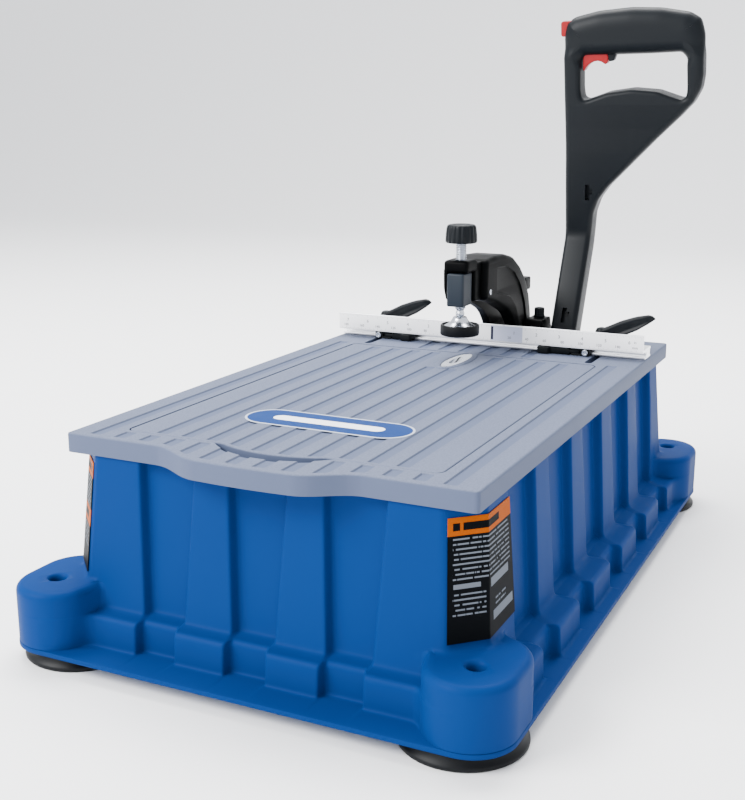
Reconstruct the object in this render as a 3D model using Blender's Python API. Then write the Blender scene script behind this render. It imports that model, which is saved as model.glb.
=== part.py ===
"""Benchtop pocket-hole boring machine: moulded base on rubber feet, ribbed table with a lift lid,
sliding fence with swing stops, hold-down clamp arm and a D-grip feed lever.

Working lengths are millimetres from the table's straight front edge (y) and the floor (z); to_row()
turns them into metres in the row frame, whose origin is the middle of the bounding box's foot."""
import math

import bmesh
import bpy
from mathutils import Matrix, Vector
from mathutils.geometry import tessellate_polygon

# ---------------------------------------------------------------- driving dimensions (mm)
GAP = 0.3                      # clearance between neighbouring parts
TABLE_HALF_X = 179.1
TABLE_LEN = 600.1
TABLE_TOP = 186.8
TABLE_THICK = 16.0
BULGE = 22.5                   # forward swell of the table's front edge
RIB_PITCH = 23.8
GROOVE_W = 10.0
GROOVE_D = 1.2
LID_HALF_X = 139.5
LID_Y0, LID_Y1 = 28.0, 445.0
LID_THICK = 8.0
SEAM = 0.4
SEAM_BACK = 1.0                # room for the lid's back edge to turn
HINGE_Y, HINGE_Z = 442.0, 183.8

BASE_MID_Y = 295.4
BASE_FOOT = 12.3               # underside of the base, on top of the feet
WALL_T = 4.0
STEP = 8.5                     # depth of the wall corrugation
WALL_X_TOP, WALL_X_FOOT = 176.0, 184.0
WALL_Y_TOP, WALL_Y_FOOT = 2.3, -8.0
CHAMFER = 24.0
FRONT_RECESSES = (-82.8, 0.0, 82.8)
SIDE_FIRST, SIDE_PITCH, SIDE_COUNT = 101.0, 99.0, 5
TIER_X, TIER_Y, TIER_TOP = 205.0, -23.0, 43.5
WALL_Z0 = 48.0
POD_X, POD_Y, POD_R, POD_TOP = 182.0, -15.0, 36.0, 65.3
POD_LEDGE, POD_BACK_R = 0.7, 30.0
POD_HOLE_X, POD_HOLE_Y, POD_HOLE_R = 185.1, -14.1, 6.5

FOOT_X, FOOT_Y, FOOT_R = 171.3, -1.4, 48.7
FOOT_H = 12.0
SCREW_R = 2.7

FENCE_HALF_X = 178.0
FENCE_Y = 484.0                # working face
FENCE_Z0, FENCE_Z1 = 195.0, 214.0
RAIL_Y0, RAIL_Y1 = 494.0, 518.0
SLOT_X, SLOT_HALF = 127.7, 4.0
STUD_Y = 505.0
STUD_R = 3.0

SHAFT_Y, SHAFT_Z, SHAFT_R = 573.0, 150.0, 8.0
BORE_GAP = 0.3
HANDLE_LEAN = 25.0             # degrees back from upright, below the kink
HANDLE_NOD = 8.0               # degrees forward, above the kink
HANDLE_KINK = 164.0            # shaft axis to kink
HANDLE_HALF_T = 14.0
ARM_HALF_X = 20.0

SPINDLE_Y = 414.0
SPINDLE_R = 5.5
KNOB_LOW, KNOB_TOP = 309.3, 328.4
PAD_R, PAD_Z0 = 20.5, 213.0

TILT = 15.0                    # bore axis to the table
BORE_Y = 406.4                 # where the bore axis meets the table top
GUIDE_R, GUIDE_BORE = 9.5, 4.9
BIT_R = 4.75
TIP_S = -50.0                  # bit tip along the bore axis, at rest

ROD_X, ROD_N, ROD_R = 52.0, -36.0, 6.0

# ---------------------------------------------------------------- frame and colours
REAR = (SHAFT_Y + HANDLE_KINK * math.sin(math.radians(HANDLE_LEAN))
        + HANDLE_HALF_T * math.cos(math.radians((HANDLE_LEAN - HANDLE_NOD) / 2))
        / math.cos(math.radians((HANDLE_LEAN + HANDLE_NOD) / 2)))
Y_ORIGIN = (POD_Y - POD_R + REAR) / 2
RGB = {
    "blue": (0.012, 0.11, 0.42), "grey": (0.36, 0.40, 0.50), "black": (0.018, 0.021, 0.026),
    "rubber": (0.012, 0.012, 0.013), "zinc": (0.62, 0.64, 0.66), "alu": (0.78, 0.79, 0.82),
    "red": (0.62, 0.02, 0.035), "paint": (0.05, 0.05, 0.055), "orange": (0.85, 0.25, 0.02),
    "decal": (0.02, 0.13, 0.45), "steel": (0.45, 0.46, 0.48),
}
FINISH = {"blue": (0.38, 0), "grey": (0.55, 0), "black": (0.4, 0), "rubber": (0.8, 0),
          "zinc": (0.28, 1), "alu": (0.32, 1), "red": (0.35, 0), "paint": (0.45, 0),
          "orange": (0.5, 0), "decal": (0.35, 0), "steel": (0.3, 1)}


def to_row(p):
    return Vector((p[0] * 0.001, (p[1] - Y_ORIGIN) * 0.001, p[2] * 0.001))


def axis_point(s, n=0.0, x=0.0):
    """Point s along the tilted bore axis from the table top, n square to it, x across."""
    c, t = math.cos(math.radians(TILT)), math.sin(math.radians(TILT))
    return (x, BORE_Y + s * c - n * t, TABLE_TOP + s * t + n * c)


def material(name, key):
    m = bpy.data.materials.new(name)
    m.use_nodes = True
    b = m.node_tree.nodes["Principled BSDF"]
    b.inputs["Base Color"].default_value = (*RGB[key], 1.0)
    b.inputs["Roughness"].default_value = FINISH[key][0]
    b.inputs["Metallic"].default_value = float(FINISH[key][1])
    return m


def solid(name, verts, faces, key=None, smooth=False, pivot=None):
    me = bpy.data.meshes.new(name)
    me.from_pydata([to_row(v) for v in verts], [], faces)
    bm = bmesh.new()
    bm.from_mesh(me)
    bmesh.ops.recalc_face_normals(bm, faces=bm.faces)
    bm.to_mesh(me)
    bm.free()
    ob = bpy.data.objects.new(name, me)
    bpy.context.scene.collection.objects.link(ob)
    if key:
        dress(ob, key, smooth, pivot)
    return ob


def dress(ob, key, smooth=False, pivot=None):
    ob.data.materials.clear()
    ob.data.materials.append(material(ob.name + "_mat", key))
    if smooth:
        for p in ob.data.polygons:
            p.use_smooth = True
        ob.data.set_sharp_from_angle(angle=math.radians(35))
    if pivot is not None:
        at = to_row(pivot)
        ob.data.transform(Matrix.Translation(-at))
        ob.location = at
    return ob


def combine(ob, other, how):
    mod = ob.modifiers.new("b", "BOOLEAN")
    mod.operation, mod.solver, mod.object = how, "EXACT", other
    dg = bpy.context.evaluated_depsgraph_get()
    new = bpy.data.meshes.new_from_object(ob.evaluated_get(dg))
    ob.modifiers.clear()
    old = ob.data
    ob.data = new
    new.name = ob.name
    bpy.data.meshes.remove(old)
    bpy.data.objects.remove(other, do_unlink=True)
    return ob


def cut(ob, *others):
    for o in others:
        combine(ob, o, "DIFFERENCE")
    return ob


def fuse(ob, *others):
    for o in others:
        combine(ob, o, "UNION")
    return ob


def offset(pts, d):
    """Moves each side of a closed polygon inwards by d (outwards if negative)."""
    area = sum(a[0] * b[1] - b[0] * a[1] for a, b in zip(pts, pts[1:] + pts[:1]))
    sign = 1.0 if area > 0 else -1.0
    out = []
    for i, p in enumerate(pts):
        a, b = Vector(pts[i - 1]), Vector(pts[(i + 1) % len(pts)])
        p = Vector(p)
        u, v = (p - a).normalized(), (b - p).normalized()
        nu, nv = Vector((-u.y, u.x)) * sign, Vector((-v.y, v.x)) * sign
        m = (nu + nv)
        k = 2.0 / max(m.length_squared, 1.0)
        q = p + m * (d * k)
        out.append((q.x, q.y))
    return out


def place(axis, u, v, w):
    """(u, v) in the section, w along the axis."""
    return {"X": (w, u, v), "Y": (u, w, v), "Z": (u, v, w)}[axis]


def layered(name, outer, levels, axis="Z", holes=(), key=None, smooth=False, pivot=None, at=None):
    """Stack of the same outline at several (level, inset) pairs, capped at both ends."""
    at = at or (lambda u, v, w: place(axis, u, v, w))
    verts, faces, rings = [], [], []
    for w, inset in levels:
        row = []
        for k, loop in enumerate([outer, *holes]):
            pts = offset(loop, inset if k == 0 else -inset) if inset else loop
            row.append([len(verts) + i for i in range(len(pts))])
            verts += [at(p[0], p[1], w) for p in pts]
        rings.append(row)
    for lo, hi in zip(rings, rings[1:]):
        for a, b in zip(lo, hi):
            n = len(a)
            faces += [(a[i], a[(i + 1) % n], b[(i + 1) % n], b[i]) for i in range(n)]
    for (w, inset), row in ((levels[0], rings[0]), (levels[-1], rings[-1])):
        loops = [offset(l, (inset if k == 0 else -inset)) if inset else l
                 for k, l in enumerate([outer, *holes])]
        flat = [i for r in row for i in r]
        if holes:
            tris = tessellate_polygon([[Vector((p[0], p[1], 0)) for p in l] for l in loops])
            faces += [tuple(flat[i] for i in t) for t in tris]
        else:
            faces.append(tuple(flat))
    return solid(name, verts, faces, key, smooth, pivot)


def prism(name, pts, a, b, axis="Z", **kw):
    return layered(name, pts, [(a, 0), (b, 0)], axis, **kw)


def box(name, lo, hi, r=0.0, **kw):
    if r:
        pts = rounded(lo[0], hi[0], lo[1], hi[1], r)
        return prism(name, pts, lo[2], hi[2], **kw)
    pts = [(lo[0], lo[1]), (hi[0], lo[1]), (hi[0], hi[1]), (lo[0], hi[1])]
    return prism(name, pts, lo[2], hi[2], **kw)


def arc(cx, cy, r, a0, a1, n):
    return [(cx + r * math.cos(math.radians(a0 + (a1 - a0) * i / n)),
             cy + r * math.sin(math.radians(a0 + (a1 - a0) * i / n))) for i in range(n + 1)]


def rounded(x0, x1, y0, y1, r, n=4):
    return (arc(x1 - r, y0 + r, r, -90, 0, n) + arc(x1 - r, y1 - r, r, 0, 90, n)
            + arc(x0 + r, y1 - r, r, 90, 180, n) + arc(x0 + r, y0 + r, r, 180, 270, n))


def turned(name, prof, n, at, **kw):
    """Profile (radius, height) swept round; at(x, y, h) places it. Radius 0 closes on the axis."""
    verts, faces, rows = [], [], []
    for r, h in prof:
        if r <= 0:
            rows.append([len(verts)] * n)
            verts.append(at(0.0, 0.0, h))
        else:
            rows.append([len(verts) + i for i in range(n)])
            verts += [at(r * math.cos(2 * math.pi * i / n), r * math.sin(2 * math.pi * i / n), h)
                      for i in range(n)]
    closed = prof[0][0] > 0 and prof[-1][0] > 0
    pairs = list(zip(rows, rows[1:])) + ([(rows[-1], rows[0])] if closed else [])
    for a, b in pairs:
        for i in range(n):
            j = (i + 1) % n
            f = [a[i], a[j], b[j], b[i]]
            g = [v for k, v in enumerate(f) if v != f[k - 1]]
            if len(set(g)) >= 3:
                faces.append(tuple(g))
    return solid(name, verts, faces, kw.get("key"), kw.get("smooth", True), kw.get("pivot"))


def rod(name, r, a, b, n=24, hole=0.0, **kw):
    """Straight cylinder or tube from point a to point b."""
    a, b = Vector(a), Vector(b)
    w = (b - a).normalized()
    u = w.orthogonal().normalized() if abs(w.x) > 0.5 else Vector((1, 0, 0)).cross(w).normalized()
    v = w.cross(u)
    length = (b - a).length
    prof = [(hole, 0), (r, 0), (r, length), (hole, length)]
    return turned(name, prof, n, lambda x, y, h: tuple(a + u * x + v * y + w * h), **kw)


def upright(cx, cy):
    return lambda x, y, h: (cx + x, cy + y, h)


def along_bore(x, y, h):
    return axis_point(h, y, x)


# ---------------------------------------------------------------- base
def base_ring(x, y, step, front_w, side_w, grow=0.0):
    """One level of the corrugated wall: x, y half extents of the proud faces, recesses step deep."""
    front = []
    xc, yc = x + grow, BASE_MID_Y - y + grow      # half sizes about the middle
    s = 1.0
    for c in FRONT_RECESSES:
        front += [(c - front_w - s, 0), (c - front_w + s, step), (c + front_w - s, step),
                  (c + front_w + s, 0)]
    side = []
    for k in range(SIDE_COUNT):
        c = SIDE_FIRST + SIDE_PITCH * k - BASE_MID_Y
        side += [(c - side_w - s, 0), (c - side_w + s, step), (c + side_w - s, step),
                 (c + side_w + s, 0)]
    pts = [(-xc + CHAMFER, -yc)] + [(u, -yc + d) for u, d in front] + [(xc - CHAMFER, -yc)]
    pts += [(xc, -yc + CHAMFER)] + [(xc - d, v) for v, d in side] + [(xc, yc - CHAMFER)]
    pts += [(xc - CHAMFER, yc)] + [(u, yc - d) for u, d in reversed(front)] + [(-xc + CHAMFER, yc)]
    pts += [(-xc, yc - CHAMFER)] + [(-xc + d, v) for v, d in reversed(side)] + [(-xc, -yc + CHAMFER)]
    return [(p[0], p[1] + BASE_MID_Y) for p in pts]


def loft(name, rings, zs):
    verts = [(p[0], p[1], z) for ring, z in zip(rings, zs) for p in ring]
    n = len(rings[0])
    faces = [(k * n + i, k * n + (i + 1) % n, (k + 1) * n + (i + 1) % n, (k + 1) * n + i)
             for k in range(len(rings) - 1) for i in range(n)]
    faces += [tuple(range(n)), tuple(range((len(rings) - 1) * n, len(rings) * n))]
    return solid(name, verts, faces)


def corner(sx, sy, x, y):
    return (sx * x, BASE_MID_Y + sy * (BASE_MID_Y - y))


def octagon(x, y, c):
    yc = BASE_MID_Y - y
    pts = [(-x + c, -yc), (x - c, -yc), (x, -yc + c), (x, yc - c), (x - c, yc), (-x + c, yc),
           (-x, yc - c), (-x, -yc + c)]
    return [(p[0], p[1] + BASE_MID_Y) for p in pts]


def make_base():
    top = TABLE_TOP - TABLE_THICK - GAP
    shell = loft("base_shell", [
        base_ring(TIER_X + 0.8, TIER_Y - 0.8, STEP, 17.5, 20.0),
        base_ring(TIER_X - 0.8, TIER_Y + 0.8, STEP, 17.5, 20.0),
        base_ring(WALL_X_FOOT + 0.6, WALL_Y_FOOT - 0.6, STEP, 18.5, 27.0),
        base_ring(WALL_X_TOP, WALL_Y_TOP, STEP, 25.0, 31.0)], [BASE_FOOT + 2, TIER_TOP, WALL_Z0, top])
    rim = arc(POD_X, POD_Y, POD_R, -90, 0, 8)
    outline = []
    for sx, sy, order in ((1, -1, 1), (1, 1, -1), (-1, 1, 1), (-1, -1, -1)):
        outline += [corner(sx, sy, *p) for p in rim[::order]]
    fuse(shell, prism("flange", outline, BASE_FOOT, BASE_FOOT + 4.5))
    pods, hollows, posts, holes = [], [], [], []
    wall_r = POD_R - POD_LEDGE
    ring = (arc(POD_X, POD_Y, wall_r, -180, 0, 16)
            + arc(POD_X + wall_r - POD_BACK_R, 14.0, POD_BACK_R, 0, 60, 4)
            + [(170.0, 52.0), (150.0, 18.0)])
    for sx in (1, -1):
        for sy in (1, -1):
            pts = [corner(sx, sy, *p) for p in ring]
            pods.append(layered("pod", pts, [(BASE_FOOT, 0), (POD_TOP - 7, 0.6), (POD_TOP - 2, 2.6),
                                             (POD_TOP, 7.5)]))
            hollows.append(prism("hollow", offset(pts, 4.6), BASE_FOOT - 1, POD_TOP - 8))
            fx, fy = corner(sx, sy, FOOT_X, FOOT_Y)
            posts.append(rod("post", 9.0, (fx, fy, BASE_FOOT + 0.5), (fx, fy, POD_TOP - 5), 16))
            holes.append(rod("hole", SCREW_R + GAP, (fx, fy, 0), (fx, fy, 46), 16))
            hx, hy = corner(sx, sy, POD_HOLE_X, POD_HOLE_Y)
            posts.append(rod("post", POD_HOLE_R + 2.0, (hx, hy, BASE_FOOT + 0.5),
                             (hx, hy, POD_TOP - 5), 16))
            holes.append(rod("hole", POD_HOLE_R, (hx, hy, 0), (hx, hy, 90), 16))
    fuse(shell, *pods)
    inner = loft("inner", [octagon(TIER_X - STEP - WALL_T, TIER_Y + STEP + WALL_T, CHAMFER),
                           octagon(TIER_X - STEP - WALL_T - 1, TIER_Y + STEP + WALL_T + 1, CHAMFER),
                           octagon(WALL_X_FOOT - STEP - WALL_T, WALL_Y_FOOT + STEP + WALL_T, CHAMFER),
                           octagon(WALL_X_TOP - STEP - WALL_T, WALL_Y_TOP + STEP + WALL_T, CHAMFER)],
                 [BASE_FOOT - 1, TIER_TOP - WALL_T, WALL_Z0, top + 1])
    cut(shell, inner, *hollows)
    fuse(shell, *posts)
    cut(shell, *holes)
    # opening in the back wall for the lever and the clamp arm
    cut(shell, box("notch", (-42, 566, 114), (99, 612, top + 5)))
    cut(shell, rod("entry", 8.2, (-41.4, 560, 62), (-41.4, 615, 62), 20))
    dress(shell, "blue")


def make_feet():
    for name, sx, sy in (("fl", -1, 1), ("fr", 1, 1), ("rl", -1, -1), ("rr", 1, -1)):
        # sy = 1 keeps the front corner, -1 mirrors it to the back
        cx, cy = (sx * FOOT_X, FOOT_Y if sy == 1 else 2 * BASE_MID_Y - FOOT_Y)
        hx, hy = (sx * POD_HOLE_X, POD_HOLE_Y if sy == 1 else 2 * BASE_MID_Y - POD_HOLE_Y)
        foot = turned("foot_" + name, [(SCREW_R + GAP, 6.0), (8.0, 6.0), (8.0, 0.0), (47.2, 0.0),
                                       (FOOT_R, 1.5), (FOOT_R, 3.5), (44.5, 10.5), (43.0, FOOT_H),
                                       (SCREW_R + GAP, FOOT_H)], 32, upright(cx, cy))
        cut(foot, rod("hole", POD_HOLE_R, (hx, hy, -5), (hx, hy, 20), 16))
        dress(foot, "rubber", True)
        turned("foot_screw_" + name, [(0, 1.5), (6.0, 1.5), (6.0, 5.7), (SCREW_R, 5.7),
                                      (SCREW_R, 40.0), (0, 42.0)], 16, upright(cx, cy), key="zinc")


# ---------------------------------------------------------------- table and lid
def table_outline():
    swell = []
    for i in range(21):
        x = -92.0 + 184.0 * i / 20
        f = 0.5 + 0.5 * math.cos(math.pi * max(0.0, abs(x) - 40.0) / 52.0) if abs(x) > 40 else 1.0
        crown = 1.5 * (1 - min(1.0, abs(x) / 40.0) ** 2)
        swell.append((x, -(BULGE - 1.5) * f - crown))
    x, y = TABLE_HALF_X, TABLE_LEN
    return (arc(-x + 4, 4, 4, 180, 270, 3) + swell + arc(x - 4, 4, 4, -90, 0, 3)
            + arc(x - 4, y - 4, 4, 0, 90, 3) + arc(-x + 4, y - 4, 4, 90, 180, 3))


def segment(half, y0, sag, n=10):
    r = (half * half + sag * sag) / (2 * sag)
    a = math.degrees(math.asin(half / r))
    return arc(0, y0 - sag + r, r, 270 - a, 270 + a, n)


def make_table():
    under = TABLE_TOP - TABLE_THICK
    table = layered("table_top", table_outline(), [(under, 0), (TABLE_TOP - 1.5, 0), (TABLE_TOP, 1.5)])
    x, y0, y1 = LID_HALF_X + SEAM, LID_Y0 - SEAM, LID_Y1 + SEAM_BACK
    cut(table, prism("seat", rounded(-x, x, y0, y1, 8.4), TABLE_TOP - LID_THICK - GAP, TABLE_TOP + 5))
    cut(table, box("well", (-x + 7, y0 + 7, under - 5), (x - 7, y1, TABLE_TOP + 5)))
    # room below for the lid's back edge to turn down
    cut(table, box("relief", (-x, HINGE_Y - 10, TABLE_TOP - LID_THICK - 1.6), (x, y1, TABLE_TOP - 4)))
    cut(table, prism("scoop", segment(56.0, 30.0, 26.0), under + 2.5, TABLE_TOP + 5))
    notch = [(-26, 522), (84, 522), (84, 640), (-26, 640)]
    cut(table, prism("notch", notch, under - 5, TABLE_TOP + 5))
    for s in (-1, 1):
        cut(table, box("slot", (s * SLOT_X - SLOT_HALF, 452.5, under - 5),
                       (s * SLOT_X + SLOT_HALF, 572.0, TABLE_TOP + 5), 3.9))
        # strip beside the lid
        c = s * 6.5 * RIB_PITCH
        cut(table, box("g", (c - GROOVE_W / 2, 7, TABLE_TOP - GROOVE_D),
                       (c + GROOVE_W / 2, 450, TABLE_TOP + 5)))
    for k in range(-6, 6):
        c = (k + 0.5) * RIB_PITCH
        front = -10.0 if abs(c) < 40 else 6.0
        cut(table, box("g", (c - GROOVE_W / 2, front, TABLE_TOP - GROOVE_D),
                       (c + GROOVE_W / 2, LID_Y0 - 4, TABLE_TOP + 5)))
    for k in range(-2, 2):
        c = (k + 0.5) * RIB_PITCH
        cut(table, box("g", (c - GROOVE_W / 2, 452, TABLE_TOP - GROOVE_D),
                       (c + GROOVE_W / 2, 515, TABLE_TOP + 5)))
    # hinge pin seat at the back of the well
    cut(table, rod("pinseat", 2.1, (-150, HINGE_Y, HINGE_Z), (150, HINGE_Y, HINGE_Z), 12))
    dress(table, "grey")


def make_lid():
    pivot = (0, HINGE_Y, HINGE_Z)
    lid = layered("table_lid", rounded(-LID_HALF_X, LID_HALF_X, LID_Y0, LID_Y1, 8.0),
                  [(TABLE_TOP - LID_THICK, 0), (TABLE_TOP - 0.8, 0), (TABLE_TOP, 0.8)])
    lip = segment(52.0, LID_Y0 + 3.0, 14.0)
    fuse(lid, prism("lip", lip, TABLE_TOP - 5.0, TABLE_TOP - 0.6))
    for k in range(-5, 5):
        c = (k + 0.5) * RIB_PITCH
        end = 357.0 if abs(c) < 14 else HINGE_Y - 4
        cut(lid, box("g", (c - GROOVE_W / 2, LID_Y0 + 6, TABLE_TOP - GROOVE_D),
                     (c + GROOVE_W / 2, end, TABLE_TOP + 5)))
    bore = rod("bore", GUIDE_R + GAP, axis_point(-60), axis_point(60), 32)
    cut(lid, bore)
    # rounded back edge turns on the pin
    cut(lid, rod("pinhole", 2.1, (-150, HINGE_Y, HINGE_Z), (150, HINGE_Y, HINGE_Z), 12))
    dress(lid, "grey", pivot=pivot)
    rod("hinge_pin", 1.8, (-149, HINGE_Y, HINGE_Z), (149, HINGE_Y, HINGE_Z), 12, key="zinc")
    guide = rod("drill_guide", GUIDE_R, axis_point(-45), axis_point(45), 32, hole=GUIDE_BORE)
    cut(guide, box("above", (-40, 300, TABLE_TOP), (40, 520, TABLE_TOP + 40)))
    dress(guide, "zinc", True, pivot)
    block = prism("guide_block", [(372, TABLE_TOP - LID_THICK - GAP), (372, 152), (398, 152),
                                  (425, 166), (425, TABLE_TOP - LID_THICK - GAP)], -17, 17, "X")
    cut(block, rod("bore", GUIDE_R + GAP, axis_point(-70), axis_point(60), 32))
    dress(block, "paint", pivot=pivot)
    ends = (arc(77.5 - 24, 118, 24, -90, 90, 12) + arc(-77.5 + 24, 118, 24, 90, 270, 12))
    prism("lid_badge", ends, TABLE_TOP + 0.02, TABLE_TOP + 0.3, key="decal", pivot=pivot)


# ---------------------------------------------------------------- fence
def make_fence():
    pivot = (0, FENCE_Y, FENCE_Z0)
    z0 = TABLE_TOP + GAP
    sec = [(FENCE_Y, FENCE_Z0), (FENCE_Y + 2.5, FENCE_Z0), (RAIL_Y0, FENCE_Z0), (RAIL_Y0, 193.0),
           (RAIL_Y0 + 2, 193.0), (RAIL_Y0 + 2, 194.2), (RAIL_Y0 + 6, 194.2), (RAIL_Y0 + 6, 188.6),
           (RAIL_Y0 + 2, 188.6), (RAIL_Y0 + 2, 189.8), (RAIL_Y0, 189.8), (RAIL_Y0, z0),
           (RAIL_Y1, z0), (RAIL_Y1, 198.0), (RAIL_Y0 + 1, 198.0), (FENCE_Y + 2.5, 198.0),
           (FENCE_Y + 2.5, FENCE_Z1), (FENCE_Y, FENCE_Z1)]
    fence = prism("fence_rail", sec, -FENCE_HALF_X, FENCE_HALF_X, "X")
    for s in (-1, 1):
        cut(fence, rod("hole", STUD_R + GAP, (s * SLOT_X, STUD_Y, 180), (s * SLOT_X, STUD_Y, 205), 16))
    dress(fence, "alu", pivot=pivot)
    box("fence_rule", (-FENCE_HALF_X, FENCE_Y - 0.8, FENCE_Z0 + 0.4),
        (FENCE_HALF_X, FENCE_Y - 0.3, FENCE_Z1 - 0.4), key="alu", pivot=pivot)
    under = TABLE_TOP - TABLE_THICK
    for side, s in (("l", -1), ("r", 1)):
        x = s * SLOT_X
        turned("fence_stud_" + side, [(0, under - 6), (7.5, under - 6), (7.5, under - GAP),
                                      (STUD_R, under - GAP), (STUD_R, 207.0), (0, 207.5)], 16,
               upright(x, STUD_Y), key="zinc", pivot=pivot)
        hub = turned("fence_lever_" + side, [(STUD_R + GAP, 198.3), (7.5, 198.3), (7.5, 203.0),
                                             (6.5, 214.5), (0, 216.0), (0, 208.0),
                                             (STUD_R + GAP, 207.9)],
                     20, upright(x, STUD_Y))
        blade = [(-4, 206.0), (8, 203.5), (20, 206.0), (38, 214.0), (49, 220.5), (50.5, 225.0),
                 (47, 228.0), (36, 227.0), (20, 222.5), (6, 216.0), (-4, 213.0)]
        wing = layered("wing", [(x + u, v) for u, v in blade],
                       [(STUD_Y - 6.0, 1.2), (STUD_Y - 4.5, 0), (STUD_Y + 4.5, 0),
                        (STUD_Y + 6.0, 1.2)], "Y")
        cut(wing, rod("c", STUD_R + GAP, (x, STUD_Y, 190), (x, STUD_Y, 208.0), 16))
        fuse(hub, wing)
        dress(hub, "black", True, (x, STUD_Y, 198.3))
    # swing stops: a block keyed into the rail, a screw, and an arm on an upright pin
    for side, s, sx, reach in (("l", 1, -128.0, 42.0), ("r", -1, 116.0, 52.0)):
        px, py = sx + s * 9.5, 488.8
        lo, hi = sorted((sx - s * 4.5, sx + s * 15.0))
        blk = box("stop_block_" + side, (lo, 484.9, 187.3), (hi, RAIL_Y0 - GAP, 194.7))
        neck = [(RAIL_Y0 - 1, 190.1), (RAIL_Y0 + 2.3, 190.1), (RAIL_Y0 + 2.3, 188.9),
                (RAIL_Y0 + 5.7, 188.9), (RAIL_Y0 + 5.7, 193.9), (RAIL_Y0 + 2.3, 193.9),
                (RAIL_Y0 + 2.3, 192.7), (RAIL_Y0 - 1, 192.7)]
        fuse(blk, prism("neck", neck, lo + 1, hi - 1, "X"))
        a, b = sorted((px - s * 4.6, px + s * 12.0))
        cut(blk, box("fork", (a, 480.0, 189.2), (b, 492.9, 193.0)))
        fuse(blk, rod("pin", 1.6, (px, py, 188.0), (px, py, 194.0), 12))
        cut(blk, rod("tap", 1.6, (sx, 480, 190.9), (sx, 491.5, 190.9), 12))
        dress(blk, "black", pivot=(px, py, 191.0))
        turned("stop_screw_" + side, [(0, 0), (3.0, 0), (3.25, 0.5), (3.25, 1.9), (1.3, 1.9),
                                      (1.3, 7.0), (0, 7.0)],
               16, lambda x, y, h, sx=sx: (sx + x, 482.7 + h, 190.9 + y),
               key="zinc", pivot=(px, py, 191.0))
        tip = sx + s * reach
        r0 = px + s * 8.0
        bar = [(r0, 484.4), (tip - s * 14, 484.4), (tip - s * 12, 479.0), (tip - s * 1.5, 479.0),
               (tip, 480.5), (tip, 492.0), (tip - s * 1.5, 493.4), (r0, 493.4)]
        arm = layered("stop_arm_" + side, bar, [(187.4, 0.4), (187.9, 0), (194.1, 0), (194.6, 0.4)])
        ends = arc(px, py, 3.8, 90 if s > 0 else -90, 270 if s > 0 else 90, 10)
        foot = [(r0 + 2 * s, 485.0), (r0 + 2 * s, 492.6)]
        tongue = ends + (foot if s > 0 else foot[::-1])
        fuse(arm, prism("tongue", tongue, 189.5, 192.7))
        cut(arm, rod("eye", 1.9, (px, py, 185), (px, py, 197), 12))
        dress(arm, "black", pivot=(px, py, 191.0))


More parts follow.
